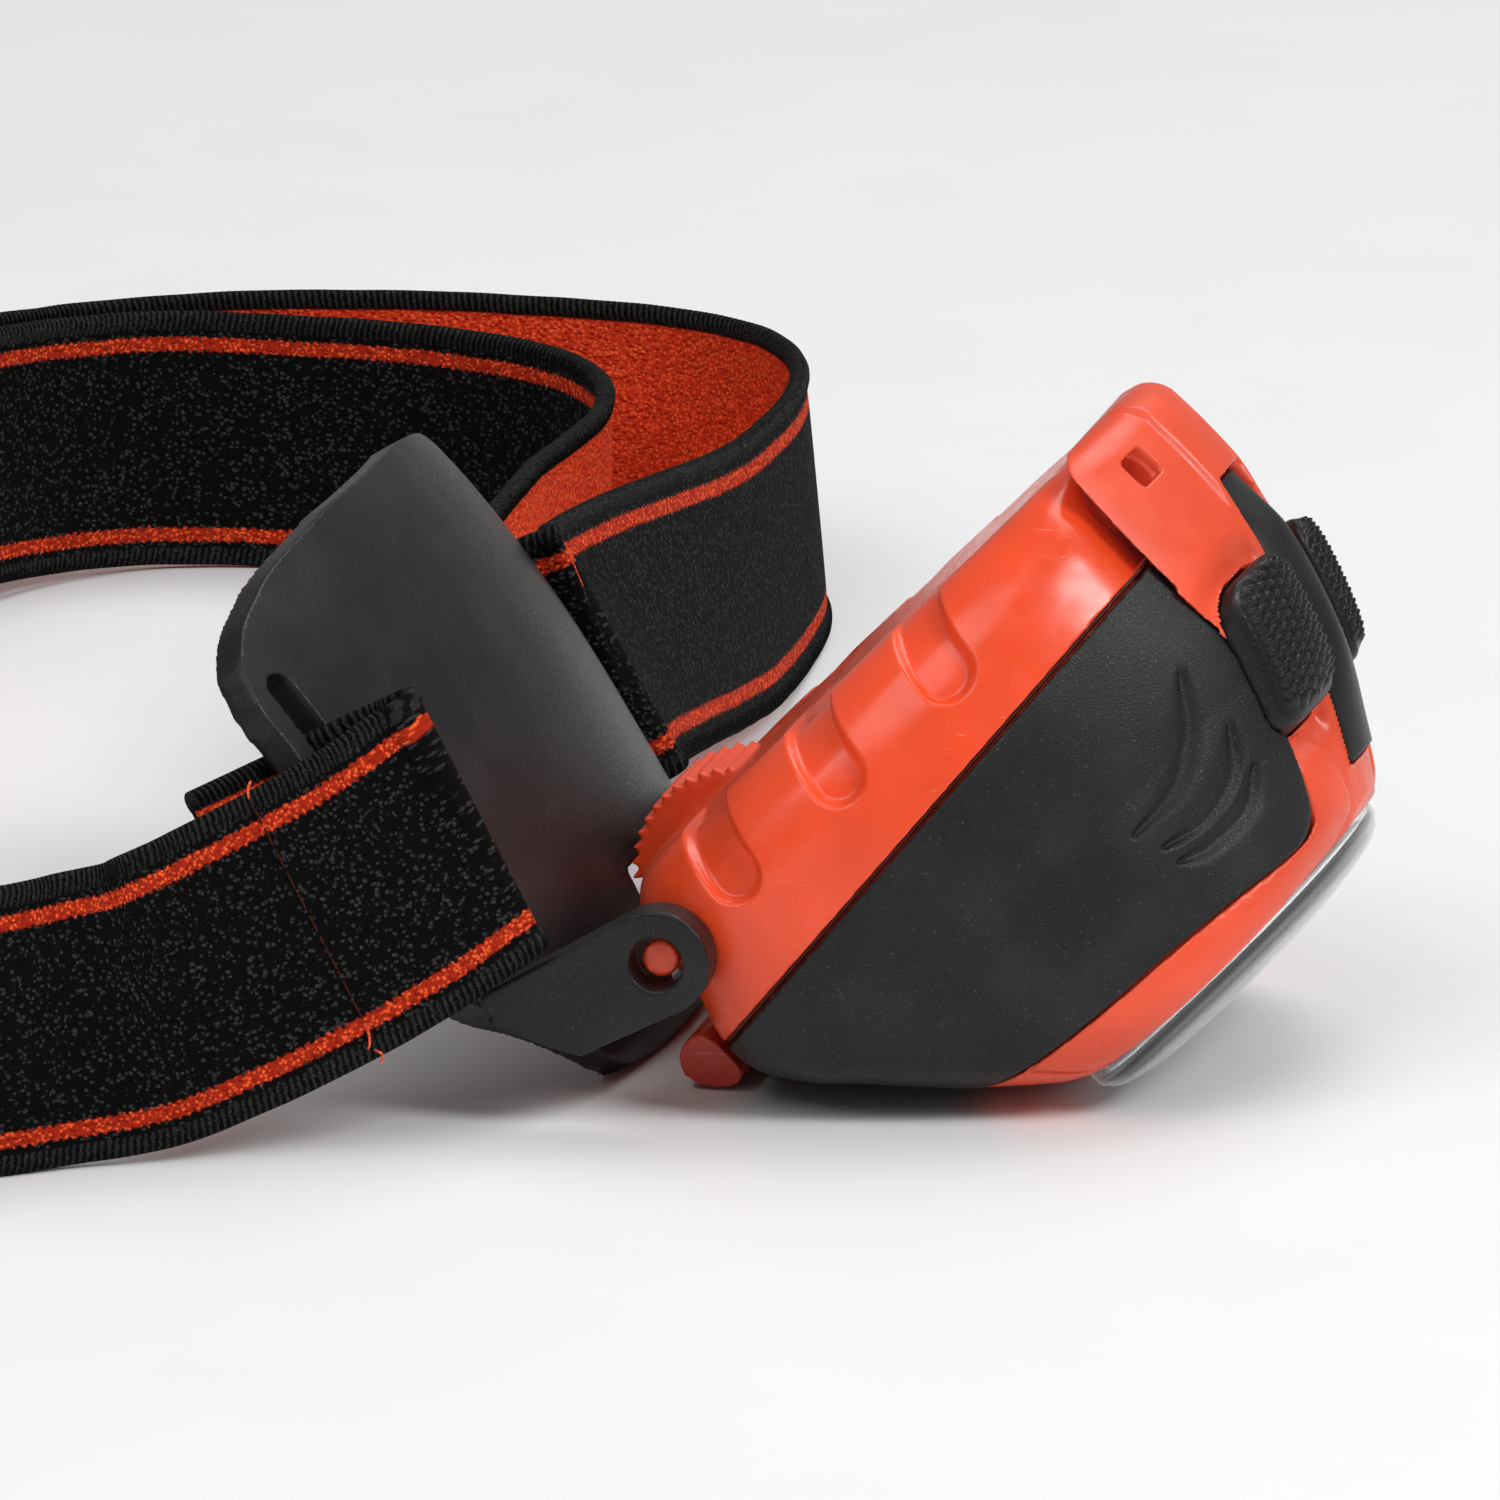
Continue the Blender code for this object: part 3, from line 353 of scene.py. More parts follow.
def full_turn(count):
    """Angles evenly round a circle, in radians."""
    return np.linspace(0.0, 2 * math.pi, count, endpoint=False)


def vertex_places(mesh):
    points = np.empty(len(mesh.vertices) * 3)
    mesh.vertices.foreach_get("co", points)
    return points.reshape(-1, 3)


def move_vertices(mesh, points):
    mesh.vertices.foreach_set("co", points.reshape(-1))
    mesh.update()


def distance_along(points):
    """Distance travelled from the first point to each point of a path."""
    steps = np.linalg.norm(np.diff(points, axis=0), axis=1)
    return np.concatenate([[0], np.cumsum(steps)])


def smoothstep(value, low, high):
    t = np.clip((np.asarray(value, float) - low) / (high - low), 0.0, 1.0)
    return t * t * (3.0 - 2.0 * t)


def through(knots, values):
    """Smooth curve through (place, value) knots at many values."""
    places, levels = np.array(knots, float).T
    slopes = np.gradient(levels, places)
    values = np.clip(values, places[0], places[-1])
    index = np.clip(np.searchsorted(places, values, side="right") - 1, 0, len(places) - 2)
    span = places[index + 1] - places[index]
    t = (values - places[index]) / span
    return ((2 * t**3 - 3 * t**2 + 1) * levels[index]
            + (t**3 - 2 * t**2 + t) * span * slopes[index]
            + (3 * t**2 - 2 * t**3) * levels[index + 1]
            + (t**3 - t**2) * span * slopes[index + 1])


# ---- lamp body ---------------------------------------------------------------------
GAP = 0.3
REAR, FRONT = -6.4, 33.5
SPRING_LINE = 7.0
SHELL = 1.8
HOOD_LINE = 49.4
HOOD_GROW = 0.9
HOOD_REAR = -7.0
GRIP_DEPTH = 1.3
SEAM_AT_HINGE, SEAM_SLOPE = 8.9, 0.0955
REAR_ROUND_SIDE, REAR_ROUND_TOP, FRONT_ROUND = 8.0, 4.5, 2.6
TOP_KNOTS = ((-6.4, 54.0), (0.0, 54.3), (5.0, 54.2), (12.0, 53.4), (19.0, 51.3), (26.0, 48.2),
             (30.5, 45.6), (33.5, 43.4))
SIDE_KNOTS = ((-6.4, 33.0), (9.0, 33.0), (15.0, 32.4), (22.0, 30.4), (28.0, 27.8), (33.5, 25.6))
FLOOR_KNOTS = ((-6.4, -4.0), (4.0, -4.4), (9.0, -6.2), (12.0, -6.0), (20.0, 0.8), (27.0, 7.2),
               (33.5, 14.6))
GRIP_SIDE_VIEW = ((-4.0, 49.0), (12.4, 48.9), (16.3, 48.3), (20.5, 47.4), (25.4, 45.6),
                  (29.0, 43.7), (30.6, 41.9), (30.6, 40.2), (29.9, 36.3), (29.2, 29.8),
                  (28.9, 22.0), (28.3, 15.0), (26.8, 8.6), (25.4, 4.0), (23.0, -12.0),
                  (-4.0, -12.0))
GROOVE_HEIGHTS = (9.0, 21.2, 33.2)
SHOULDER_START, SHOULDER_RADIUS = 45.3, 5.5
BUTTON_DEPTHS = (10.6, 23.2)
BUTTON_LATERALS = (4.9, 13.2)
BUTTON_RADIUS = 2.6
BUTTON_MIDDLE = (sum(BUTTON_DEPTHS) / 2, sum(BUTTON_LATERALS) / 2)
BUTTON_HALF = ((BUTTON_DEPTHS[1] - BUTTON_DEPTHS[0]) / 2,
               (BUTTON_LATERALS[1] - BUTTON_LATERALS[0]) / 2)
PANEL_HALF_WIDTH = 4.0
PANEL_DEPTHS = (3.9, 29.0)
PIN_RADIUS = 1.62
RIM_DEPTH, LENS_HEIGHT = 31.0, 26.4
RATCHET_TEETH = 13


# Depth, then the inner wall's distance from the outer skin.
COVER_WALLS = ((-4.4, 3.3), (-3.6, 2.7), (-2.0, 2.2), (1.0, 1.9), (6.0, SHELL), (9.0, SHELL),
               (11.0, SHELL), (14.0, SHELL))
HOUSING_INNER_DEPTHS = (-4.6, -2.0, 4.0, 9.0, 14.0, 20.0, 25.0, 29.5)
HOOD_LIP = ((-30.0, HOOD_LINE), (7.5, HOOD_LINE), (11.0, 44.0), (40.0, 36.0), (40.0, 80.0),
            (-30.0, 80.0))
LATCH_SIDE_VIEW = ((7.6, -6.4), (6.9, -8.0), (7.4, -9.6), (8.8, -10.5), (10.4, -10.2),
                   (11.9, -9.0), (12.8, -7.6), (12.2, -6.3))
LATCH_REACH = 21.4
GASKET_HALF, GASKET_TOP = 0.14, 48.6


def round_inset(distance, radius):
    """How far a quarter-round edge stands in at a distance from its end."""
    reach = np.clip(distance, 0.0, radius)
    return radius - np.sqrt(np.maximum(0.0, radius**2 - (radius - reach)**2))


def body_points(depths, angles, grow=0.0):
    """The lamp's surface, as an array of points for every depth and angle round it."""
    depth = np.asarray(depths, float)[:, None]
    angle = np.asarray(angles, float)[None, :]
    rear, front = depth - REAR, round_inset(FRONT - depth, FRONT_ROUND)
    half = through(SIDE_KNOTS, depth) - round_inset(rear, REAR_ROUND_SIDE) - front + grow
    top = through(TOP_KNOTS, depth) - round_inset(rear, REAR_ROUND_TOP) - front + grow
    low = through(FLOOR_KNOTS, depth) + round_inset(rear, REAR_ROUND_TOP) + front - grow
    waist = np.maximum(SPRING_LINE, low + 9.0)
    across, rise = np.cos(angle), np.sin(angle)
    boxy = 2 / 3.4
    upper = rise >= 0.0
    y = np.where(upper, half * across, half * np.sign(across) * np.abs(across)**boxy)
    z = np.where(upper, waist + (top - waist) * rise, waist - (waist - low) * np.abs(rise)**boxy)
    return np.stack([np.broadcast_to(depth, y.shape), y, z], -1)


def body_blank(name, depths, grow=0.0, count=300):
    """The lamp's solid outline."""
    return loft(name, body_points(depths, full_turn(count), grow))


def outward(points):
    """Unit direction away from the lamp's inside, at points near its skin."""
    depth = points[:, 0]
    half = through(SIDE_KNOTS, depth) - round_inset(depth - REAR, REAR_ROUND_SIDE)
    rise = through(TOP_KNOTS, depth) - SPRING_LINE
    direction = np.stack([-0.9 * (1 - smoothstep(depth, REAR, REAR + 5.0)), points[:, 1] / half**2,
                          np.maximum(0.0, points[:, 2] - SPRING_LINE) / rise**2], -1)
    direction[:, 1:] /= np.maximum(1e-9, np.linalg.norm(direction[:, 1:], axis=1, keepdims=True))
    return direction / np.linalg.norm(direction, axis=1, keepdims=True)


def press(made, relief, up_only=False):
    """Push the lamp's outer skin in or out by a relief function of place, in mm."""
    mesh = made.data
    points = vertex_places(mesh)
    normals = np.empty(len(mesh.vertices) * 3)
    mesh.vertex_normals.foreach_get("vector", normals)
    direction = outward(points)
    if up_only:
        direction[:, 0] = 0.0
        direction /= np.maximum(1e-9, np.linalg.norm(direction, axis=1, keepdims=True))
    facing = smoothstep(np.sum(normals.reshape(-1, 3) * direction, axis=1), 0.0, 0.45)
    points = points + direction * (relief(points) * facing)[:, None]
    move_vertices(mesh, points)
    return made


def hood_grow(depth):
    """How far the hood stands out of the body's outline, fading out towards the lens."""
    return HOOD_GROW * (1 - smoothstep(depth, 5.0, 17.0))


def hood_size(depth):
    """Half width and top of the hood, which has tighter rear edges than the cover under it."""
    behind = depth - HOOD_REAR
    half = through(SIDE_KNOTS, depth) + hood_grow(depth) - round_inset(behind, 1.2)
    top = through(TOP_KNOTS, depth) + hood_grow(depth) - round_inset(behind, 3.0)
    return half, top


def case_size(depth):
    """Half width and top of the body's outline."""
    rear, front = depth - REAR, round_inset(FRONT - depth, FRONT_ROUND)
    return (through(SIDE_KNOTS, depth) - round_inset(rear, REAR_ROUND_SIDE) - front,
            through(TOP_KNOTS, depth) - round_inset(rear, REAR_ROUND_TOP) - front)


def true_up(made, *sizes):
    """Draw a remeshed skin back onto the smooth arch wherever it lies close to it."""
    points = vertex_places(made.data)
    moved = points.copy()
    for size in sizes:
        half, top = size(points[:, 0])
        rise = top - SPRING_LINE
        ratio = np.hypot(points[:, 1] / half, (points[:, 2] - SPRING_LINE) / rise)
        off = np.abs(ratio - 1.0) * np.minimum(half, rise)
        ends = smoothstep(points[:, 0], REAR + 0.8, REAR + 2.0)
        pull = (1 - smoothstep(off, 0.14, 0.24)) * smoothstep(points[:, 2], 7.0, 9.0) * ends
        pull = pull[:, None]
        aim = points.copy()
        aim[:, 1] /= ratio
        aim[:, 2] = SPRING_LINE + (points[:, 2] - SPRING_LINE) / ratio
        moved = moved + (aim - points) * pull
    move_vertices(made.data, moved)
    return made


def fine_depths(low, high, step=0.45):
    """Depths closer together over the rounded ends."""
    inner = np.arange(low, high, step)
    rear = REAR + REAR_ROUND_SIDE * (1 - np.cos(np.linspace(0.02, 0.6, 10)))
    front = FRONT - FRONT_ROUND * (1 - np.cos(np.linspace(0.02, 1.0, 8)))
    every = np.concatenate([inner, rear, front, [low, high]])
    every = np.unique(np.round(every[(every >= low) & (every <= high)], 3))
    keep = np.concatenate([[True], np.diff(every) > 0.012])
    return every[keep]


def groove_relief(points):
    """Three finger grooves on each side, and the shoulder that rounds in under the hood."""
    depth = points[:, 0]
    total = np.zeros(depth.shape)
    for height in GROOVE_HEIGHTS:
        away = np.hypot(points[:, 2] - height, np.maximum(0.0, depth + 0.9))
        total -= 1.15 * (1 - smoothstep(away, 1.95, 2.6))
    total *= smoothstep(np.abs(points[:, 1]), 17.0, 25.0)
    above = np.maximum(0.0, points[:, 2] - SHOULDER_START)
    return total - (SHOULDER_RADIUS - np.sqrt(SHOULDER_RADIUS**2 - above**2))


def button_distance(points):
    """Distance in plan outside the nearer button's outline."""
    a = np.abs(points[:, 0] - BUTTON_MIDDLE[0]) - BUTTON_HALF[0] + BUTTON_RADIUS
    b = np.abs(np.abs(points[:, 1]) - BUTTON_MIDDLE[1]) - BUTTON_HALF[1] + BUTTON_RADIUS
    outside = np.hypot(np.maximum(a, 0), np.maximum(b, 0))
    return outside + np.minimum(np.maximum(a, b), 0) - BUTTON_RADIUS


def housing_relief(points):
    """Raised crown, and the scoops that lead to each end of the buttons."""
    depth, across, height = points[:, 0], np.abs(points[:, 1]), points[:, 2]
    top = smoothstep(height, 36.0, 41.0)
    crown = 0.6 * (1 - smoothstep(across, 4.6, 5.4)) * top
    crown = crown * (1 - 0.8 * smoothstep(depth, 3.0, 8.0))
    near = 1 - smoothstep(button_distance(points), 0.4, 3.6)
    beyond = smoothstep(depth, BUTTON_DEPTHS[1] - 2.2, BUTTON_DEPTHS[1] + 0.8)
    before = 1 - smoothstep(depth, BUTTON_DEPTHS[0] - 1.0, BUTTON_DEPTHS[0] + 2.5)
    scoop = near * top * smoothstep(across, 4.6, 5.8) * (1.25 * beyond + 0.7 * before)
    return crown - scoop


def seam_at(height, shift):
    """A point of the slanted case seam, seen from the side."""
    return SEAM_AT_HINGE - SEAM_SLOPE * height + shift, height


def seam_outline(low, high, end, shift):
    """Side view of everything between the case seam, moved by a shift, and a far end."""
    return [(end, low), seam_at(low, shift), seam_at(high, shift), (end, high)]


def smooth_outline(outline, rounds=2):
    """Corner cutting, which rounds an outline."""
    points = np.array(outline, float)
    for _ in range(rounds):
        after = np.roll(points, -1, axis=0)
        points = np.stack([0.8 * points + 0.2 * after, 0.2 * points + 0.8 * after], 1)
        points = points.reshape(-1, 2)
    return points.tolist()


def make_pin(side):
    """A hinge pin with a chamfered end and a ring pressed into its face."""
    end = side * 35.0
    step = -side
    profile = [(side * 30.6, PIN_RADIUS), (end + step * 0.3, PIN_RADIUS), (end + step * 0.05, 1.5),
               (end, 1.3), (end, 1.22), (end + step * 0.35, 1.14), (end + step * 0.35, 0.98),
               (end, 0.88), (end, 0.2)]
    return lathe_y("pin", profile)


def make_ratchet():
    """Toothed sector about the hinge axis."""
    outline = []
    for tooth in range(RATCHET_TEETH):
        for part, radius in ((0.0, 8.6), (0.15, 8.75), (0.62, 9.35), (0.78, 9.35)):
            angle = math.radians(126.0 + 108.0 * (tooth + part) / RATCHET_TEETH)
            outline.append((radius * math.cos(angle), radius * math.sin(angle)))
    outline += [(-5.0, -6.4), (-5.0, 6.4)]
    return prism("ratchet", outline, -4.9, 4.9)


def make_rear_cover():
    """Hollow rear half of the case, with its hinge pins, ratchet and finger grooves."""
    cover = body_blank("rear_cover_shell", fine_depths(REAR, 14.0))
    boolean(cover, "INTERSECT",
            prism("behind", seam_outline(-30.0, HOOD_LINE - GAP, -20.0, -GAP / 2), -60, 60))
    turn = full_turn(120)
    inside = loft("inside", [body_points([depth], turn, -wall)[0] for depth, wall in COVER_WALLS])
    boolean(inside, "INTERSECT", block("cap", (-40, -60, -40), (40, 60, HOOD_LINE - SHELL)))
    boolean(cover, "DIFFERENCE", inside)
    boolean(cover, "UNION", make_pin(-1), make_pin(1), make_ratchet())
    press(true_up(skin(cover, 0.22, 4), case_size), groove_relief)
    return finish_piece(cover, case_orange, "rear_half", "case_orange", "rear_cover", place=LAMP)


def make_gasket():
    """The dark seal that shows as a thin line between the two halves of the case."""
    band = [seam_at(-14.0, -GASKET_HALF), seam_at(-14.0, GASKET_HALF),
            seam_at(GASKET_TOP, GASKET_HALF), seam_at(GASKET_TOP, -GASKET_HALF)]
    gasket = body_blank("gasket_line", fine_depths(2.0, 14.0), -0.35)
    boolean(gasket, "INTERSECT", prism("band", band, -60.0, 60.0))
    boolean(gasket, "DIFFERENCE", body_blank("inside", fine_depths(1.0, 15.0), -1.9, 200))
    finish_piece(gasket, seal_red, "rear_half", "seal_rubber", place=LAMP)


def grip_region(name, side, grow, skin_depth):
    """The solid that a grip, or the bed under it, is cut to."""
    outline = smooth_outline(GRIP_SIDE_VIEW)
    middle = np.mean(outline, axis=0)
    away = np.array(outline) - middle
    away /= np.linalg.norm(away, axis=1, keepdims=True)
    outline = (np.array(outline) + away * grow).tolist()
    low, high = (12.0 - grow, 60.0) if side > 0 else (-60.0, -12.0 + grow)
    region = prism(name, outline, low, high)
    return boolean(region, "DIFFERENCE",
                   body_blank("core", fine_depths(-4.0, FRONT, 0.9), -skin_depth, 200))


def button_column(side, grow):
    """The upright hole that a button stands in."""
    centre = (BUTTON_MIDDLE[0], side * BUTTON_MIDDLE[1])
    outline = rounded_rectangle(BUTTON_HALF[0] + grow, BUTTON_HALF[1] + grow,
                                BUTTON_RADIUS + grow, centre)
    return prism("well", outline, 30.0, 60.0, "z")


def rim_outline(scale_y, scale_z):
    """The lamp's mouth drawn in about its middle, as (y, z) points."""
    rim = body_points([RIM_DEPTH], full_turn(220))[0]
    return [(y * scale_y, LENS_HEIGHT + (z - LENS_HEIGHT) * scale_z) for _, y, z in rim]


def make_front_housing():
    """Front half of the case: hood with two windows, beds for the grips, wells for buttons."""
    housing = body_blank("front_shell", fine_depths(-5.4, FRONT))
    boolean(housing, "INTERSECT",
            prism("ahead", seam_outline(-30.0, 70.0, 60.0, GAP / 2), -60, 60))
    turn = full_turn(291)
    rings = []
    for depth in np.concatenate([HOOD_REAR + np.array([0.02, 0.1, 0.25, 0.45, 0.7, 1.0]),
                                 np.arange(-5.7, 21.6, 0.45)]):
        half, top = hood_size(depth)
        rings.append([(depth, half * math.cos(a), SPRING_LINE + (top - SPRING_LINE) * math.sin(a))
                      for a in turn])
    hood = loft("hood", rings)
    boolean(hood, "INTERSECT", prism("above", HOOD_LIP, -60.0, 60.0))
    boolean(housing, "UNION", hood)
    boolean(housing, "DIFFERENCE",
            loft("inside", body_points(HOUSING_INNER_DEPTHS, full_turn(100), -SHELL - 1.5)),
            prism("mouth", rim_outline(0.90, 0.88), 24.0, 40.0, "x"))
    for side in (-1, 1):
        boolean(housing, "DIFFERENCE",
                grip_region("bed", side, 0.25, GRIP_DEPTH + 0.25),
                block("window", (-3.3, side * 10.0 - 1.6, 44.0), (-0.3, side * 10.0 + 1.6, 60.0)),
                button_column(side, GAP))
    bed = block("bed", (PANEL_DEPTHS[0] - GAP, -PANEL_HALF_WIDTH - 0.2, 30),
                (PANEL_DEPTHS[1] + 0.2, PANEL_HALF_WIDTH + 0.2, 60))
    boolean(bed, "DIFFERENCE", body_blank("core", fine_depths(-4.0, FRONT, 0.9), -1.5, 160))
    boolean(housing, "DIFFERENCE", bed)
    press(true_up(skin(housing, 0.23, 4), case_size, hood_size), housing_relief, True)
    return finish_piece(housing, housing_orange, "front_half", "housing_orange", "front_housing",
                        place=LAMP)


SWOOSHES = (((12.9, 45.5), (16.5, 43.1), (19.4, 39.4), (20.0, 34.7)),
            ((19.1, 44.9), (22.0, 42.7), (23.2, 39.2), (22.5, 35.6)),
            ((22.9, 44.0), (25.0, 41.3), (25.0, 37.6), (24.3, 35.5)))


def swoosh_relief(points):
    """Three shallow curved grooves pressed into each grip near the lens."""
    depth, height = points[:, 0], points[:, 2]
    total = np.zeros(depth.shape)
    for knots in SWOOSHES:
        share = np.linspace(0.0, 1.0, 60)[:, None]
        path = np.column_stack([through([(k / 3, knot[axis]) for k, knot in enumerate(knots)],
                                        share[:, 0]) for axis in (0, 1)])
        nearest = np.full(depth.shape, 99.0)
        width = np.full(depth.shape, 1.0)
        for place, (a, b) in zip(share[:, 0], path):
            away = np.hypot(depth - a, height - b)
            closer = away < nearest
            nearest = np.where(closer, away, nearest)
            swell = 0.15 + 0.75 * math.sin(math.pi * min(1.0, place * 0.9 + 0.05))
            width = np.where(closer, swell, width)
        total -= 0.6 * np.exp(-(nearest / width)**2)
    return total


def make_grips():
    """Rubber skins on both sides, set into the front half."""
    for side, name in ((-1, "right"), (1, "left")):
        grip = body_blank(name + "_grip_skin", fine_depths(-4.0, FRONT, 0.35), 0.12)
        boolean(grip, "INTERSECT", grip_region("region", side, 0.0, GRIP_DEPTH),
                prism("ahead", seam_outline(-30.0, 70.0, 60.0, GAP / 2 + 0.25), -60, 60))
        boolean(grip, "DIFFERENCE", button_column(side, GAP))
        press(skin(grip, 0.18, 4), swoosh_relief)
        finish_piece(grip, grip_black, "front_half", "grip_rubber", name + "_grip", place=LAMP)


def crown_height(depth, across, grow=0.0):
    """Height of the lamp's arched top at a plan position."""
    half = through(SIDE_KNOTS, depth) + grow
    top = through(TOP_KNOTS, depth) - round_inset(FRONT - depth, FRONT_ROUND) + grow
    return SPRING_LINE + (top - SPRING_LINE) * np.sqrt(np.maximum(0.0, 1 - (across / half)**2))


def cap_on_crown(name, outline_at, height_at, skirt, rows, columns):
    """A closed cap over part of the crown: rings from its middle out, then a skirt down."""
    rings = []
    for share in np.linspace(0.02, 1.0, rows):
        plan = outline_at(share, columns)
        rings.append(np.column_stack([plan, height_at(plan, share)]))
    edge = rings[-1]
    for drop in (0.35, 0.8, 1.6, skirt):
        lower = edge.copy()
        lower[:, 2] -= drop
        rings.append(lower)
    base = rings[-1].copy()
    middle = base[:, :2].mean(axis=0)
    base[:, :2] = middle + (base[:, :2] - middle) * 0.85
    rings.append(base)
    return loft(name, rings)


def rounded_plan(centre, half_a, half_b, radius):
    """A function giving a rounded rectangle shrunk to a share of its size."""
    corners = np.array(rounded_rectangle(half_a, half_b, radius, (0.0, 0.0), 24))
    corners = np.concatenate([corners, corners[:1]])
    length = distance_along(corners)

    def at(share, columns):
        even = np.linspace(0.0, length[-1], columns, endpoint=False)
        edge = np.stack([np.interp(even, length, corners[:, k]) for k in range(2)], 1)
        return edge * share + np.array(centre)
    return at


ROPE_PITCH, ROPE_HEIGHT = 1.05, 0.46
TWIST_PITCH, TWIST_HEIGHT = 0.95, 0.30
BUTTON_PROUD, BUTTON_PILLOW, BUTTON_SKIRT = 1.0, 1.75, 3.6
PANEL_PROUD, PANEL_SKIRT = 0.45, 1.6


def make_buttons():
    """Rubber buttons covered with rows of twisted rope-like ribs."""
    half_a, half_b = BUTTON_HALF
    for side, name in ((-1, "right"), (1, "left")):
        centre = (BUTTON_MIDDLE[0], side * BUTTON_MIDDLE[1])

        def height_at(plan, share):
            depth, across = plan[:, 0], plan[:, 1]
            side_share = np.abs(np.abs(across) - abs(centre[1])) / half_b
            end_share = np.abs(depth - centre[0]) / half_a
            pillow = (np.maximum(0.0, 1 - side_share**2.3)**0.55
                      * np.maximum(0.0, 1 - end_share**6)**0.5)
            row = (np.abs(across) - abs(centre[1])) / ROPE_PITCH
            rope = np.abs(np.cos(math.pi * row))
            twist = np.cos(2 * math.pi * (depth / TWIST_PITCH + 0.5 * np.floor(row + 0.5)
                                          + 0.55 * (row - np.round(row))))
            cover = (1 - smoothstep(share, 0.84, 0.95))
            ribs = (ROPE_HEIGHT * rope + TWIST_HEIGHT * twist * rope) * cover
            return crown_height(depth, across) + BUTTON_PROUD + BUTTON_PILLOW * pillow + ribs

        plan_at = rounded_plan(centre, half_a, half_b, BUTTON_RADIUS)
        rows, columns = ((110, 420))
        cap = cap_on_crown(name + "_button_cap", plan_at, height_at,
                           BUTTON_SKIRT, rows, columns)
        finish_piece(cap, button_black, name + "_button_cap", "button_rubber", name + "_button",
                     place=LAMP)


def make_top_panel():
    """Black strip along the crown between the buttons."""
    half_a = (PANEL_DEPTHS[1] - PANEL_DEPTHS[0]) / 2
    centre = (sum(PANEL_DEPTHS) / 2, 0.0)

    def height_at(plan, share):
        side_share = np.abs(plan[:, 1]) / PANEL_HALF_WIDTH
        ends = smoothstep(plan[:, 0], PANEL_DEPTHS[0], PANEL_DEPTHS[0] + 7.0)
        ends = ends * (1 - 0.8 * smoothstep(plan[:, 0], PANEL_DEPTHS[1] - 9.0, PANEL_DEPTHS[1]))
        pillow = (0.35 + ends) * (1 - side_share**2)
        return crown_height(plan[:, 0], plan[:, 1]) + PANEL_PROUD + pillow

    panel = cap_on_crown("top_strip", rounded_plan(centre, half_a, PANEL_HALF_WIDTH, 0.9),
                         height_at, PANEL_SKIRT, 50, 240)
    finish_piece(panel, panel_black, "front_half", "panel_black", "top_panel", place=LAMP)


def scaled_ring(depth, scale, rim):
    return [(depth, y * scale, LENS_HEIGHT + (z - LENS_HEIGHT) * scale) for y, z in rim]


def make_lens():
    """Clear domed lens, and the dimpled reflector behind it."""
    rim = rim_outline(0.885, 0.862)
    dome = [(33.7, 1.0), (34.0, 0.992), (34.25, 0.975)]
    dome += [(34.3 + 2.6 * math.cos(a), 0.965 * math.sin(a))
             for a in np.radians(np.linspace(84.0, 3.0, 26))]
    inner = [(33.1 + 2.1 * math.cos(a), 0.93 * math.sin(a))
             for a in np.radians(np.linspace(3.0, 88.0, 22))]
    profile = [(30.4, 1.0)] + dome + inner + [(30.4, 0.94)]
    count = len(profile)
    rings = [scaled_ring(depth, scale, rim) for depth, scale in profile]
    columns = len(rim)
    top, under = len(dome), len(dome) + 1
    faces = []
    for row in range(count):
        after = (row + 1) % count
        if row == top:
            continue
        faces += [(row * columns + k, row * columns + (k + 1) % columns,
                   after * columns + (k + 1) % columns, after * columns + k)
                  for k in range(columns)]
    faces += [tuple(range(top * columns, (top + 1) * columns)),
              tuple(range(under * columns, (under + 1) * columns))]
    lens = mesh_object("lens_cover", np.array(rings).reshape(-1, 3), faces)
    fix_normals(lens.data)
    s = Shader("lens_look", (0.95, 0.96, 0.97), 0.04, IOR=1.2)
    s.set("Roughness", s.ramp(s.noise(300.0, 3.0), 0.45, 0.8, 0.025, 0.09))
    rim_view = s.node("ShaderNodeLayerWeight")
    rim_view.inputs["Blend"].default_value = 0.35
    s.set("Transmission Weight", s.ramp(rim_view.outputs["Facing"], 0.35, 0.95, 1.0, 0.35))
    finish_piece(lens, s.material, "front_half", "clear_lens", "lens", place=LAMP)

    bowl = [(30.0, 0.90)] + [(19.2 + 10.6 * share**1.8, 0.30 + 0.59 * share)
                             for share in np.linspace(0.97, 0.0, 24)]
    back = [(18.2 + 11.6 * share**1.8, 0.34 + 0.58 * share) for share in np.linspace(0.0, 1.0, 24)]
    rings = [scaled_ring(depth, scale, rim) for depth, scale in bowl + back]
    reflector = loft("reflector_bowl", rings, closed=True)
    chrome = Shader("reflector_look", (0.80, 0.81, 0.83), 0.16, Metallic=1.0)
    ripple = chrome.cells(450.0)
    chrome.set("Normal", chrome.bump(ripple, 0.35, 0.0004))
    chrome.set("Roughness", chrome.ramp(chrome.noise(200.0), 0.3, 0.7, 0.10, 0.22))
    finish_piece(reflector, chrome.material, "front_half", "reflector_chrome", "reflector",
                 place=LAMP)


def make_latch():
    """Bar across the bottom of the front half that opens it."""
    bar = prism("latch_lip", smooth_outline(LATCH_SIDE_VIEW, 3), -LATCH_REACH, LATCH_REACH)
    skin(bar, 0.2, 3)
    finish_piece(bar, latch_orange, "front_half", "latch_orange", "latch_tab", place=LAMP)


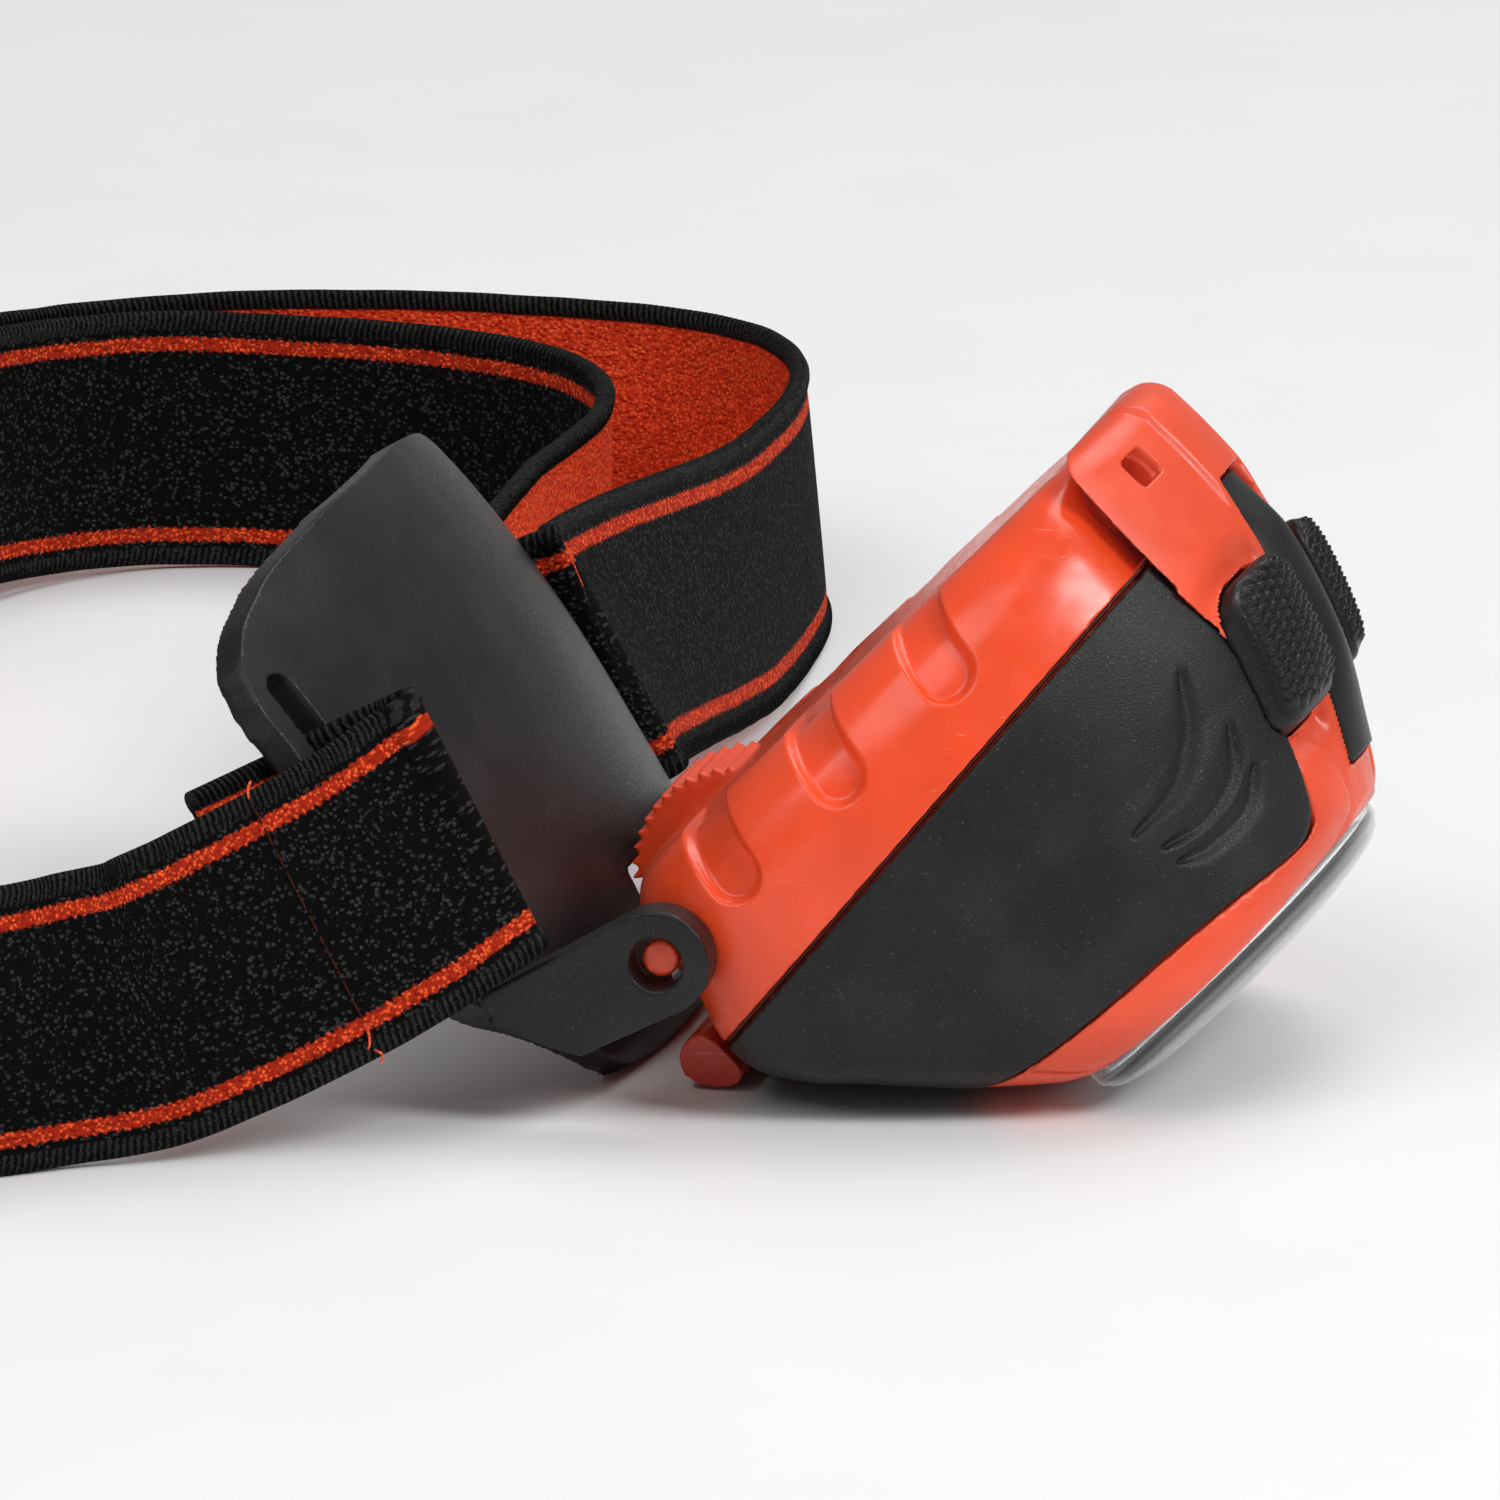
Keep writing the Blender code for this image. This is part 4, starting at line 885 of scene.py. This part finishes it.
# ---- bracket plate -----------------------------------------------------------------
PLATE_THICKNESS = 2.6
PLATE_BEND_RADIUS = 100.0
PLATE_FRONT_KNOTS = ((-9.9, -11.7), (-7.2, -10.0), (-3.0, -8.8), (2.0, -8.3), (12.0, -8.3),
                     (26.0, -9.1), (38.0, -11.1), (45.5, -13.2))
PLATE_WIDTH_KNOTS = ((-9.9, 10.0), (-9.3, 15.5), (-7.8, 20.5), (-5.6, 24.5), (-3.2, 28.0),
                     (0.0, 32.6), (2.4, 36.2), (4.6, 38.6), (8.0, 39.7), (14.0, 40.0),
                     (30.0, 40.0), (36.0, 39.6), (39.6, 37.2), (42.3, 31.6), (44.1, 23.0),
                     (45.0, 12.0))
SLOT = (36.4, 3.0, 4.4, 36.5)      # centre, width, bottom, top
EAR_OUTER, EAR_THICKNESS, EAR_RADIUS, EAR_HOLE_RADIUS = 37.0, 3.7, 4.6, 2.3
PLATE_WINDOW = (5.6, -6.4, 4.6)    # half width, bottom, top


def make_plate():
    """Curved forehead plate with two strap slots, two hinge ears and a window."""
    rows, columns = 150, 160
    first, last = PLATE_WIDTH_KNOTS[0][0], PLATE_WIDTH_KNOTS[-1][0]
    swing = (1.0 - np.cos(math.pi * np.arange(rows) / (rows - 1))) / 2
    height = (first + (last - first) * swing)[:, None]
    lateral = through(PLATE_WIDTH_KNOTS, height) * np.linspace(-1, 1, columns)[None, :]
    front = through(PLATE_FRONT_KNOTS, height) - lateral**2 / (2 * PLATE_BEND_RADIUS)
    high = np.broadcast_to(height, lateral.shape)
    face = np.stack([front, lateral, high], -1)
    rear = face - np.array([PLATE_THICKNESS, 0.0, 0.0])
    vertices = np.concatenate([face.reshape(-1, 3), rear.reshape(-1, 3)])
    faces = ring_faces(rows, columns, False) + ring_faces(rows, columns, False, rows * columns)
    edge = ([(0, k) for k in range(columns)] + [(k, columns - 1) for k in range(1, rows)]
            + [(rows - 1, k) for k in range(columns - 2, -1, -1)]
            + [(k, 0) for k in range(rows - 2, 0, -1)])
    ids = [r * columns + c for r, c in edge]
    under = rows * columns
    faces += [(a, b, b + under, a + under) for a, b in zip(ids, ids[1:] + ids[:1])]
    plate = mesh_object("forehead_plate", vertices, faces)
    fix_normals(plate.data)
    centre, width, bottom, top = SLOT
    for side in (-1, 1):
        outline = rounded_rectangle(width / 2, (top - bottom) / 2, 1.45,
                                    (side * centre, (top + bottom) / 2))
        outer, inner = side * EAR_OUTER, side * (EAR_OUTER - EAR_THICKNESS)
        arc = [(EAR_RADIUS * math.sin(a), EAR_RADIUS * math.cos(a))
               for a in np.radians(np.linspace(0, 180, 60))]
        ear = [(-15.9, 4.4), (-8.0, 4.5)] + arc + [(-9.8, -4.1), (-12.2, -1.9), (-15.9, 2.3)]
        hole = lathe_y("hole", [(inner - side * 3, EAR_HOLE_RADIUS),
                                (outer + side * 3, EAR_HOLE_RADIUS)])
        boolean(plate, "DIFFERENCE", prism("slot", outline, -30.0, 0.0, "x"))
        boolean(plate, "UNION", prism("ear", ear, min(outer, inner), max(outer, inner)))
        boolean(plate, "DIFFERENCE", hole)
    half, bottom, top = PLATE_WINDOW
    boolean(plate, "DIFFERENCE", block("window", (-30.0, -half, bottom), (0.0, half, top)))
    skin(plate, 0.24, 6)
    points = vertex_places(plate.data)
    front = through(PLATE_FRONT_KNOTS, points[:, 2]) - points[:, 1]**2 / (2 * PLATE_BEND_RADIUS)
    for surface in (front, front - PLATE_THICKNESS):
        off = surface - points[:, 0]
        points[:, 0] += off * (1 - smoothstep(np.abs(off), 0.13, 0.24))
    move_vertices(plate.data, points)
    return finish_piece(plate, plate_black, "bracket", "plate_plastic", "bracket_plate",
                        place=PLATE)


# ---- webbing -----------------------------------------------------------------------
# Bottom edge of the webbing (x, y, z) in the bench frame and its lean in degrees: sewn end
# at the right slot, out of view to the adjuster, back along the far side, round the left
# slot's bar, and to the adjuster's middle bar. Stations at the adjuster are (along, out).
ADJUSTER_PLACE = (-118.2, 109.0)
ADJUSTER_ALONG = (0.146, 0.989)
ADJUSTER_LIFT = 2.6
BAR_SPACING, BAR_HALF_WIDTH, BAR_HALF_THICKNESS = 8.4, 1.2, 1.0
WEB_WIDTH = 25.0
WEB_THICKNESS = 1.5
NEAR_STATIONS = (
    (-28.2, -46.2, 7.0, 28.0), (-24.6, -41.8, 8.3, 29.0), (-21.7, -38.2, 9.4, 29.6),
    (-19.6, -36.5, 10.6, 29.7), (-16.2, -36.4, 12.4, 29.7), (-12.6, -35.9, 14.2, 29.7),
    (-10.2, -36.2, 15.5, 29.7), (-9.7, -37.6, 15.6, 29.7), (-11.6, -39.6, 14.2, 29.6),
    (-14.8, -42.2, 12.0, 29.3), (-19.2, -44.8, 9.4, 28.6), (-24.6, -47.6, 6.6, 26.5),
    (-30.6, -50.4, 3.8, 22.0), (-37.2, -53.4, 1.4, 14.0), (-44.6, -56.6, 0.3, 6.0),
    (-50.8, -61.0, 0.0, 0.0), (-58.6, -66.8, 0.0, 0.0), (-70.0, -72.6, 0.0, 0.0),
    (-84.0, -75.4, 0.0, 0.0), (-98.0, -71.8, 0.0, 0.0), (-110.0, -61.4, 0.0, 0.0),
    (-118.8, -43.0, 0.0, 0.0), (-124.0, -18.0, 0.0, 0.0), (-126.2, 14.0, 0.0, 0.0),
    (-125.2, 46.0, 0.4, 0.0), (-122.6, 74.0, 1.6, 0.0),
)
WEAVE_STATIONS = (
    (-16.0, -1.2), (-12.0, -2.0), (-8.6, -2.25), (-6.3, -1.7), (-5.1, 0.0), (-4.3, 1.7),
    (-2.7, 3.6), (0.0, 4.1), (2.7, 3.5), (4.3, 1.7), (5.1, 0.0), (6.3, -1.7), (8.6, -2.25),
    (12.0, -2.0), (18.0, -0.6),
)
FAR_STATIONS = (
    (-113.6, 136.0, 1.4, 0.0), (-110.4, 146.0, 0.6, 0.0), (-105.0, 154.6, 0.0, 0.0),
    (-97.4, 161.2, 0.0, 0.0), (-87.4, 166.7, 0.0, 0.0), (-76.3, 169.8, 0.0, 0.0),
    (-64.6, 170.9, 0.0, 0.0), (-52.5, 170.2, 0.0, 0.0), (-42.1, 167.6, 0.0, 1.0),
    (-33.6, 162.0, 0.0, 3.0), (-27.4, 152.6, 0.0, 5.0), (-24.2, 140.6, 0.0, 6.0),
    (-22.6, 124.0, 0.3, 8.0), (-21.2, 106.0, 1.6, 11.0), (-20.2, 88.0, 4.0, 15.0),
    (-19.2, 70.0, 6.8, 20.0), (-18.0, 55.0, 9.2, 25.0), (-16.6, 45.6, 10.8, 28.6),
    (-15.2, 40.6, 12.1, 29.7), (-14.5, 37.9, 12.6, 29.7), (-15.5, 36.5, 12.1, 29.7),
    (-17.4, 36.4, 11.3, 29.7), (-19.7, 36.6, 10.3, 29.7), (-21.7, 38.3, 9.3, 29.7),
    (-22.9, 41.8, 8.8, 29.4), (-24.8, 48.0, 8.0, 28.0), (-28.4, 60.0, 6.4, 23.0),
    (-33.4, 80.0, 4.0, 15.0), (-38.2, 98.0, 1.6, 8.0), (-41.2, 114.0, 0.3, 2.0),
    (-42.6, 128.0, 0.0, 0.0), (-45.6, 140.0, 0.0, 0.0), (-52.0, 149.0, 0.0, 0.0),
    (-63.0, 155.2, 0.0, 0.0), (-78.6, 157.4, 0.0, 0.0), (-92.0, 154.6, 0.4, 0.0),
    (-100.4, 146.4, 1.0, 0.0), (-105.4, 136.0, 1.8, 0.0),
)
SEWN_END_STATIONS = (
    (18.5, -6.3), (13.5, -5.0), (9.5, -4.2), (6.0, -3.5), (2.8, -2.7), (0.4, -2.3),
    (-1.7, -1.95), (-2.6, 0.0), (-1.7, 1.95), (0.4, 2.2),
)


def by_adjuster(along, out):
    return (ADJUSTER_PLACE[0] + along * ADJUSTER_ALONG[0] - out * ADJUSTER_ALONG[1],
            ADJUSTER_PLACE[1] + along * ADJUSTER_ALONG[1] + out * ADJUSTER_ALONG[0],
            ADJUSTER_LIFT, 0.0)


WEB_STATIONS = (NEAR_STATIONS + tuple(by_adjuster(*place) for place in WEAVE_STATIONS)
                + FAR_STATIONS + tuple(by_adjuster(*place) for place in SEWN_END_STATIONS))
STATION_STEP = 0.16
RIB_PITCH = 0.64
STRIPE_FROM_EDGE, TOOTH_PITCH = 3.15, 0.95


def smooth_route(stations, steps=24):
    """Catmull-Rom curve through the stations, then evenly spaced along its length."""
    knots = [np.array(station, float) for station in stations]
    knots = [2 * knots[0] - knots[1]] + knots + [2 * knots[-1] - knots[-2]]
    route = []
    for before, start, end, after in zip(knots, knots[1:], knots[2:], knots[3:]):
        for t in np.arange(steps) / steps:
            route.append(0.5 * (2 * start + (end - before) * t
                                + (2 * before - 5 * start + 4 * end - after) * t**2
                                + (3 * start - before - 3 * end + after) * t**3))
    route.append(knots[-2])
    route = np.array(route)
    length = distance_along(route[:, :3])
    even = np.arange(0.0, length[-1], STATION_STEP)
    return even, np.stack([np.interp(even, length, route[:, k]) for k in range(4)], 1)


def web_frames(route):
    """Across and face directions at every station."""
    run = np.gradient(route[:, :3], axis=0)
    run /= np.linalg.norm(run, axis=1, keepdims=True)
    lean = np.radians(route[:, 3])
    across = np.stack([-np.sin(lean), np.zeros_like(lean), np.cos(lean)], 1)
    across -= run * np.sum(across * run, axis=1, keepdims=True)
    across /= np.linalg.norm(across, axis=1, keepdims=True)
    face = np.cross(run, across)
    return across, face


def web_profile():
    """Half the cross-section: height across the web and half thickness, with beaded edges."""
    v = np.array([0.0, 0.10, 0.35, 0.75, 1.2, 1.6, 1.95, 2.3, 3.0, 4.0, 6.0, 9.0, 12.5])
    t = np.array([0.0, 0.38, 0.66, 0.82, 0.82, 0.72, 0.60, 0.58, 0.60, 0.62, 0.64, 0.65, 0.65])
    return (np.concatenate([v, (WEB_WIDTH - v)[::-1][1:]]),
            np.concatenate([t, t[::-1][1:]]))


def make_webbing():
    """The whole headband as one strip with beaded, ribbed edges."""
    along, route = smooth_route(WEB_STATIONS)
    across, face = web_frames(route)
    low = route[:, :3].copy()
    low[:, 2] = np.maximum(low[:, 2], WEB_THICKNESS / 2 * np.sin(np.radians(route[:, 3])))
    v, t = web_profile()
    loop_v = np.concatenate([v, v[::-1][1:-1]])
    loop_t = np.concatenate([t, -t[::-1][1:-1]])
    rib_zone = 1 - smoothstep(np.minimum(loop_v, WEB_WIDTH - loop_v), 1.5, 2.1)
    rib = 1 + 0.15 * np.cos(2 * math.pi * along / RIB_PITCH)[:, None] * rib_zone[None, :]
    wander = 0.05 * np.sin(along / 3.1) + 0.04 * np.sin(along / 1.3 + 1.0)
    height = loop_v[None, :] + wander[:, None] * np.sign(loop_v - WEB_WIDTH / 2)[None, :] * 0.5
    height = np.clip(height, 0.0, WEB_WIDTH)
    points = (low[:, None, :] + across[:, None, :] * height[..., None]
              + face[:, None, :] * (loop_t[None, :] * rib)[..., None])
    web = loft("elastic_webbing", points, BENCH)
    weave = web.data.attributes.new("weave", "FLOAT_VECTOR", "POINT")
    info = np.empty(points.shape)
    info[..., 0] = along[:, None]
    info[..., 1] = loop_v[None, :]
    info[..., 2] = np.where(loop_t >= 0.0, 1.0, -1.0)[None, :]
    weave.data.foreach_set("vector", info.reshape(-1).astype(np.float32))
    web = finish_piece(web, webbing_look(), "bracket", "webbing", "headband")
    return route, across, face


def webbing_look():
    """Black knit face with two orange stripes and whipped edges, and an orange inner face."""
    s = Shader("webbing_look", (0.015, 0.015, 0.016), 0.85, Specular_IOR_Level=0.1)
    info = s.node("ShaderNodeAttribute", attribute_name="weave")
    split = s.node("ShaderNodeSeparateXYZ")
    s.put(split.inputs[0], info.outputs["Vector"])
    a, v, side = split.outputs
    combine = s.node("ShaderNodeCombineXYZ")
    s.put(combine.inputs[0], a)
    s.put(combine.inputs[1], v)
    flat = combine.outputs[0]

    def wave(period_a, period_v, shift=0.0):
        phase = s.calc("ADD", s.calc("MULTIPLY", a, 2 * math.pi / period_a),
                       s.calc("MULTIPLY", v, 2 * math.pi / period_v))
        return s.calc("SINE", s.calc("ADD", phase, shift))

    def cells_in(scale_a, scale_v, twist=0.0):
        """Cell pattern over the cloth, with cells of about these sizes in mm."""
        drift = s.calc("MULTIPLY", s.noise(1.1, 2.0, flat), twist)
        spot = s.node("ShaderNodeCombineXYZ")
        s.put(spot.inputs[0], s.calc("ADD", s.calc("DIVIDE", a, scale_a), drift))
        s.put(spot.inputs[1], s.calc("ADD", s.calc("DIVIDE", v, scale_v), drift))
        return s.cells(1.0, spot.outputs[0])

    fuzz = s.noise(1.0, 3.0, s.stretched((5200.0, 5200.0, 5200.0)), 0.7)
    loops = s.ramp(cells_in(0.62, 0.50, 0.9), 0.12, 0.62, 1.0, 0.0)
    edge = s.calc("MINIMUM", v, s.calc("SUBTRACT", WEB_WIDTH, v))
    tooth = s.calc("FRACT", s.calc("DIVIDE", a, TOOTH_PITCH))
    tooth = s.calc("ABSOLUTE", s.calc("SUBTRACT", tooth, 0.5))
    jitter = s.calc("MULTIPLY", s.calc("SUBTRACT", s.noise(2.6, 3.0, flat), 0.5), 0.75)
    offset = s.calc("ADD", s.calc("MULTIPLY", s.calc("SUBTRACT", tooth, 0.25), 0.40), jitter)
    line = s.calc("ADD", STRIPE_FROM_EDGE, offset)
    from_line = s.calc("ABSOLUTE", s.calc("SUBTRACT", edge, line))
    stripe = s.ramp(from_line, 0.55, 0.78, 1.0, 0.0)
    # Knit colour: the knit's own loop pattern, lightened by painted highlights on the loop tops.
    lit = s.calc("ADD", s.calc("MULTIPLY", loops, 0.75), s.calc("MULTIPLY", fuzz, 0.5))
    glint = s.calc("MULTIPLY", s.ramp(fuzz, 0.57, 0.70), loops)
    knit = s.mix(s.ramp(lit, 0.50, 0.98), (0.0008, 0.0008, 0.0008), (0.030, 0.030, 0.031))
    ragged = s.calc("MULTIPLY", s.noise(1.9, 2.0, flat), 5.0)
    whip = s.ramp(wave(RIB_PITCH, 3.6, ragged), -0.75, 0.5)
    border = s.mix(s.calc("MULTIPLY", whip, s.ramp(fuzz, 0.25, 0.7)), (0.001, 0.001, 0.001),
                   (0.034, 0.034, 0.035))
    in_border = s.ramp(edge, 1.7, 1.95, 1.0, 0.0)
    black = s.mix(in_border, knit, border)
    # Painted glints: light grey specks on the lit loops of the black face.
    black = s.mix(s.calc("MULTIPLY", glint, 0.7), black, (0.13, 0.13, 0.13))
    strands = s.ramp(cells_in(0.42, 0.36, 0.4), 0.10, 0.60, 1.0, 0.0)
    lively = s.calc("ADD", s.calc("MULTIPLY", strands, 0.55), s.calc("MULTIPLY", fuzz, 0.55))
    thread = s.mix(s.ramp(lively, 0.25, 0.85), (0.38, 0.018, 0.005), (0.98, 0.125, 0.030))
    outer = s.mix(stripe, black, thread)
    warm = s.mix(s.ramp(lively, 0.20, 0.80), (0.62, 0.036, 0.010), (1.0, 0.14, 0.04))
    inner = s.mix(in_border, warm, border)
    s.set("Base Color", s.mix(s.ramp(side, -0.3, 0.3, 1.0, 0.0), inner, outer))
    face_relief = s.mix(in_border, loops, whip)
    relief = s.calc("ADD", face_relief, s.calc("MULTIPLY", fuzz, 0.45))
    s.set("Normal", s.bump(relief, 0.85, 0.0003))
    return s.material


def make_stitches(route, across, face):
    """The line of thread that closes the right loop, with its loose ends."""
    station = int(np.argmin(np.abs(route[:, 0] + 21.5) + np.abs(route[:, 1] + 46.0)))
    origin, up = route[station, :3], across[station]
    out = -face[station]
    run = np.gradient(route[:, :3], axis=0)[station]
    run /= np.linalg.norm(run)
    thread = Shader("thread_look", (0.05, 0.008, 0.006), 0.8, Specular_IOR_Level=0.15)
    twist = thread.noise(1.0, 2.0, thread.stretched((6000.0, 6000.0, 2500.0)))
    thread.set("Base Color", thread.mix(thread.ramp(twist, 0.35, 0.7), (0.07, 0.008, 0.005),
                                        (0.010, 0.004, 0.003)))
    thread.set("Normal", thread.bump(twist, 0.5, 0.0001))
    bright = Shader("loose_thread_look", (0.8, 0.09, 0.03), 0.7)
    bright.set("Base Color", bright.mix(bright.ramp(bright.noise(4000.0), 0.4, 0.6),
                                        (0.85, 0.12, 0.04), (0.45, 0.03, 0.01)))
    stitches = []
    for count in range(11):
        base = 1.6 + 2.05 * count
        for share, lift in ((0.0, 0.35), (0.25, 0.62), (0.5, 0.68), (0.75, 0.62), (1.0, 0.35)):
            stitches.append((count, origin + up * (base + 1.6 * share) + out * (lift + 0.18)))
    strand("sewing_line", stitches, 0.10, thread.material)
    low, high = origin + up * 0.8 + out * 0.7, origin + up * 24.2 + out * 0.6
    ends = [(0, low + up * 2.4), (0, low + up * 1.2 + out * 0.5), (0, low + up * 0.3 + run * 0.7),
            (1, low + run * 0.3), (1, low + out * 0.3 - up * 0.7 - run * 0.5),
            (1, low - up * 1.2 + run * 0.3),
            (2, high), (2, high + up * 1.0 + out * 0.2), (2, high + up * 1.5 - run * 0.8)]
    strand("thread_ends", ends, 0.12, bright.material)


def strand(name, points, radius, look):
    """Short threads, each a run of points that share a number."""
    curve = bpy.data.curves.new(name, "CURVE")
    curve.dimensions = "3D"
    curve.bevel_depth = radius
    curve.bevel_resolution = 3
    curve.use_fill_caps = True
    for number in sorted({number for number, _ in points}):
        own = [point for key, point in points if key == number]
        spline = curve.splines.new("NURBS")
        spline.points.add(len(own) - 1)
        spline.order_u = 3
        spline.use_endpoint_u = True
        for target, point in zip(spline.points, own):
            target.co = (*point, 1.0)
    made = bpy.data.objects.new(name, curve)
    pieces.objects.link(made)
    graph = bpy.context.evaluated_depsgraph_get()
    mesh = bpy.data.meshes.new_from_object(made.evaluated_get(graph))
    bpy.data.objects.remove(made, do_unlink=True)
    thread = bpy.data.objects.new(name, mesh)
    pieces.objects.link(thread)
    return finish_piece(thread, look, "bracket", "webbing", place=BENCH)


def make_adjuster():
    """Three-bar slide that the webbing is threaded through."""
    end = BAR_SPACING + BAR_HALF_WIDTH
    top = 2 * ADJUSTER_LIFT + WEB_WIDTH
    rail = ADJUSTER_LIFT - GAP
    outline = rounded_rectangle(end, (top - 0.2) / 2, 1.6, (0.0, top / 2))
    slide = prism("webbing_slide", outline, -BAR_HALF_THICKNESS, BAR_HALF_THICKNESS, "x")
    for side in (-1, 1):
        hole = rounded_rectangle(BAR_SPACING / 2 - BAR_HALF_WIDTH, top / 2 - rail, 0.5,
                                 (side * BAR_SPACING / 2, top / 2))
        boolean(slide, "DIFFERENCE", prism("hole", hole, -6.0, 6.0, "x"))
    skin(slide, 0.2, 5)
    place = (BENCH @ Matrix.Translation((*ADJUSTER_PLACE, 0.0))
             @ Matrix.Rotation(-math.atan2(*ADJUSTER_ALONG), 4, "Z"))
    finish_piece(slide, adjuster_black, "bracket", "adjuster_black", "strap_adjuster", place=place)


# ---- carried-over CAD nodes --------------------------------------------------------
def circuit_board(name, colour):
    """Green solder mask with faint copper tracks."""
    s = Shader(name, colour, 0.42)
    made = s.node("ShaderNodeTexBrick")
    for socket, value in (("Scale", 420.0), ("Mortar Size", 0.06), ("Row Height", 0.5)):
        made.inputs[socket].default_value = value
    s.put(made.inputs["Vector"], s.place())
    tracks = made.outputs["Fac"]
    lighter = tuple(channel * 2.2 + 0.01 for channel in colour)
    s.set("Base Color", s.mix(tracks, colour, lighter))
    s.set("Normal", s.bump(tracks, 0.3, 0.00005))
    return s.material


def cell_sleeve():
    """Shrink sleeve in dark blue with a copper band at one end."""
    s = Shader("cell_sleeve_look", (0.02, 0.03, 0.10), 0.3)
    split = s.node("ShaderNodeSeparateXYZ")
    s.put(split.inputs[0], s.place())
    band = s.ramp(split.outputs[1], HINGE.y + 0.0125, HINGE.y + 0.0128)
    s.set("Base Color", s.mix(band, (0.02, 0.03, 0.10), (0.55, 0.22, 0.08)))
    s.set("Normal", s.bump(s.noise(900.0, 2.0), 0.1, 0.0001))
    return s.material


def carry_over():
    """Procedural materials for the inner pieces that keep their CAD shapes."""
    steel = brushed_metal("contact_steel_look", (0.62, 0.61, 0.58), 0.26)
    alloy = brushed_metal("heat_sink_look", (0.70, 0.70, 0.71), 0.38)
    board = circuit_board("board_look", (0.012, 0.10, 0.035))
    tray = moulded_plastic("tray_look", (0.018, 0.018, 0.020), 0.5)
    switch = moulded_plastic("switch_look", (0.04, 0.04, 0.045), 0.5)
    white = moulded_plastic("led_white_look", (0.90, 0.87, 0.62), 0.2, wear=0.0)
    red = moulded_plastic("led_red_look", (0.62, 0.03, 0.02), 0.18, wear=0.0)
    red_lead = moulded_plastic("red_lead_look", (0.55, 0.02, 0.015), 0.4, wear=0.0)
    black_lead = moulded_plastic("black_lead_look", (0.015, 0.015, 0.016), 0.4, wear=0.0)
    sleeve = cell_sleeve()
    looks = {"seal_ring": seal_red, "battery_tray": tray, "heat_sink": alloy, "led_board": board,
             "switch_board": board, "main_led": white, "lead_red": red_lead,
             "lead_black": black_lead}
    for number in (1, 2, 3):
        looks[f"battery_{number}"] = sleeve
        looks[f"contact_spring_{number}"] = steel
    for number in (1, 2, 3, 4):
        looks[f"board_screw_{number}"] = steel
    for name in ("left", "right"):
        looks["contact_plate_" + name] = steel
        looks[name + "_switch"] = switch
        looks["red_led_" + name] = red
    for name, look in looks.items():
        for slot in frame["nodes"][name].material_slots:
            slot.material = look


# ---- studio ------------------------------------------------------------------------
ELEVATION = math.radians(14.0)
AZIMUTH = math.radians(12.5)
CAMERA_PLACE = (0.33727, -1.4049, 0.3712)
CAMERA_LENS = 399.84
SENSOR = 36.0


def make_camera():
    camera = bpy.data.objects.new("camera", bpy.data.cameras.new("camera"))
    camera.data.sensor_width = SENSOR
    camera.data.lens = CAMERA_LENS
    camera.data.clip_end = 20.0
    camera.location = CAMERA_PLACE
    camera.rotation_euler = (math.pi / 2 - ELEVATION, 0.0, AZIMUTH)
    scene.collection.objects.link(camera)
    scene.camera = camera


FLOOR_REACH = 3.0
WORLD_LIGHT = 0.24
LIGHT_AIM = Vector((0.0, 0.0, 0.02))
KEY_POWER, SIDE_POWER, FILL_POWER = 7.5, 8.0, 9.0


def make_light(name, place, size, power):
    data = bpy.data.lights.new(name, "AREA")
    data.shape = "RECTANGLE"
    data.size, data.size_y = size
    data.energy = power
    light = bpy.data.objects.new(name, data)
    light.location = place
    light.rotation_euler = (Vector(place) - LIGHT_AIM).to_track_quat("Z", "Y").to_euler()
    scene.collection.objects.link(light)


def make_studio():
    grid = [(x, y, 0.0) for y in (-FLOOR_REACH, FLOOR_REACH) for x in (-FLOOR_REACH, FLOOR_REACH)]
    floor = mesh_object("table", grid, [(0, 1, 3, 2)])
    s = Shader("table_look", (0.86, 0.86, 0.865), 0.55)
    mottle = s.noise(40.0, 4.0)
    s.set("Base Color", s.mix(s.ramp(mottle, 0.3, 0.7), (0.855, 0.855, 0.86), (0.87, 0.87, 0.872)))
    floor.data.materials.append(s.material)
    world = bpy.data.worlds.new("studio")
    world.use_nodes = True
    world.node_tree.nodes["Background"].inputs["Color"].default_value = (1.0, 1.0, 1.0, 1.0)
    world.node_tree.nodes["Background"].inputs["Strength"].default_value = WORLD_LIGHT
    scene.world = world
    make_light("key", (0.30, 0.50, 1.15), (0.9, 0.8), KEY_POWER)
    make_light("right_box", (0.92, -0.42, 0.86), (0.45, 0.45), SIDE_POWER)
    make_light("front_fill", (-0.35, -0.95, 1.15), (1.3, 1.0), FILL_POWER)
    scene.view_settings.view_transform = "Standard"


make_camera()
make_studio()
make_rear_cover()
make_front_housing()
make_gasket()
make_grips()
make_buttons()
make_top_panel()
make_lens()
make_latch()
make_plate()
make_stitches(*make_webbing())
make_adjuster()
carry_over()
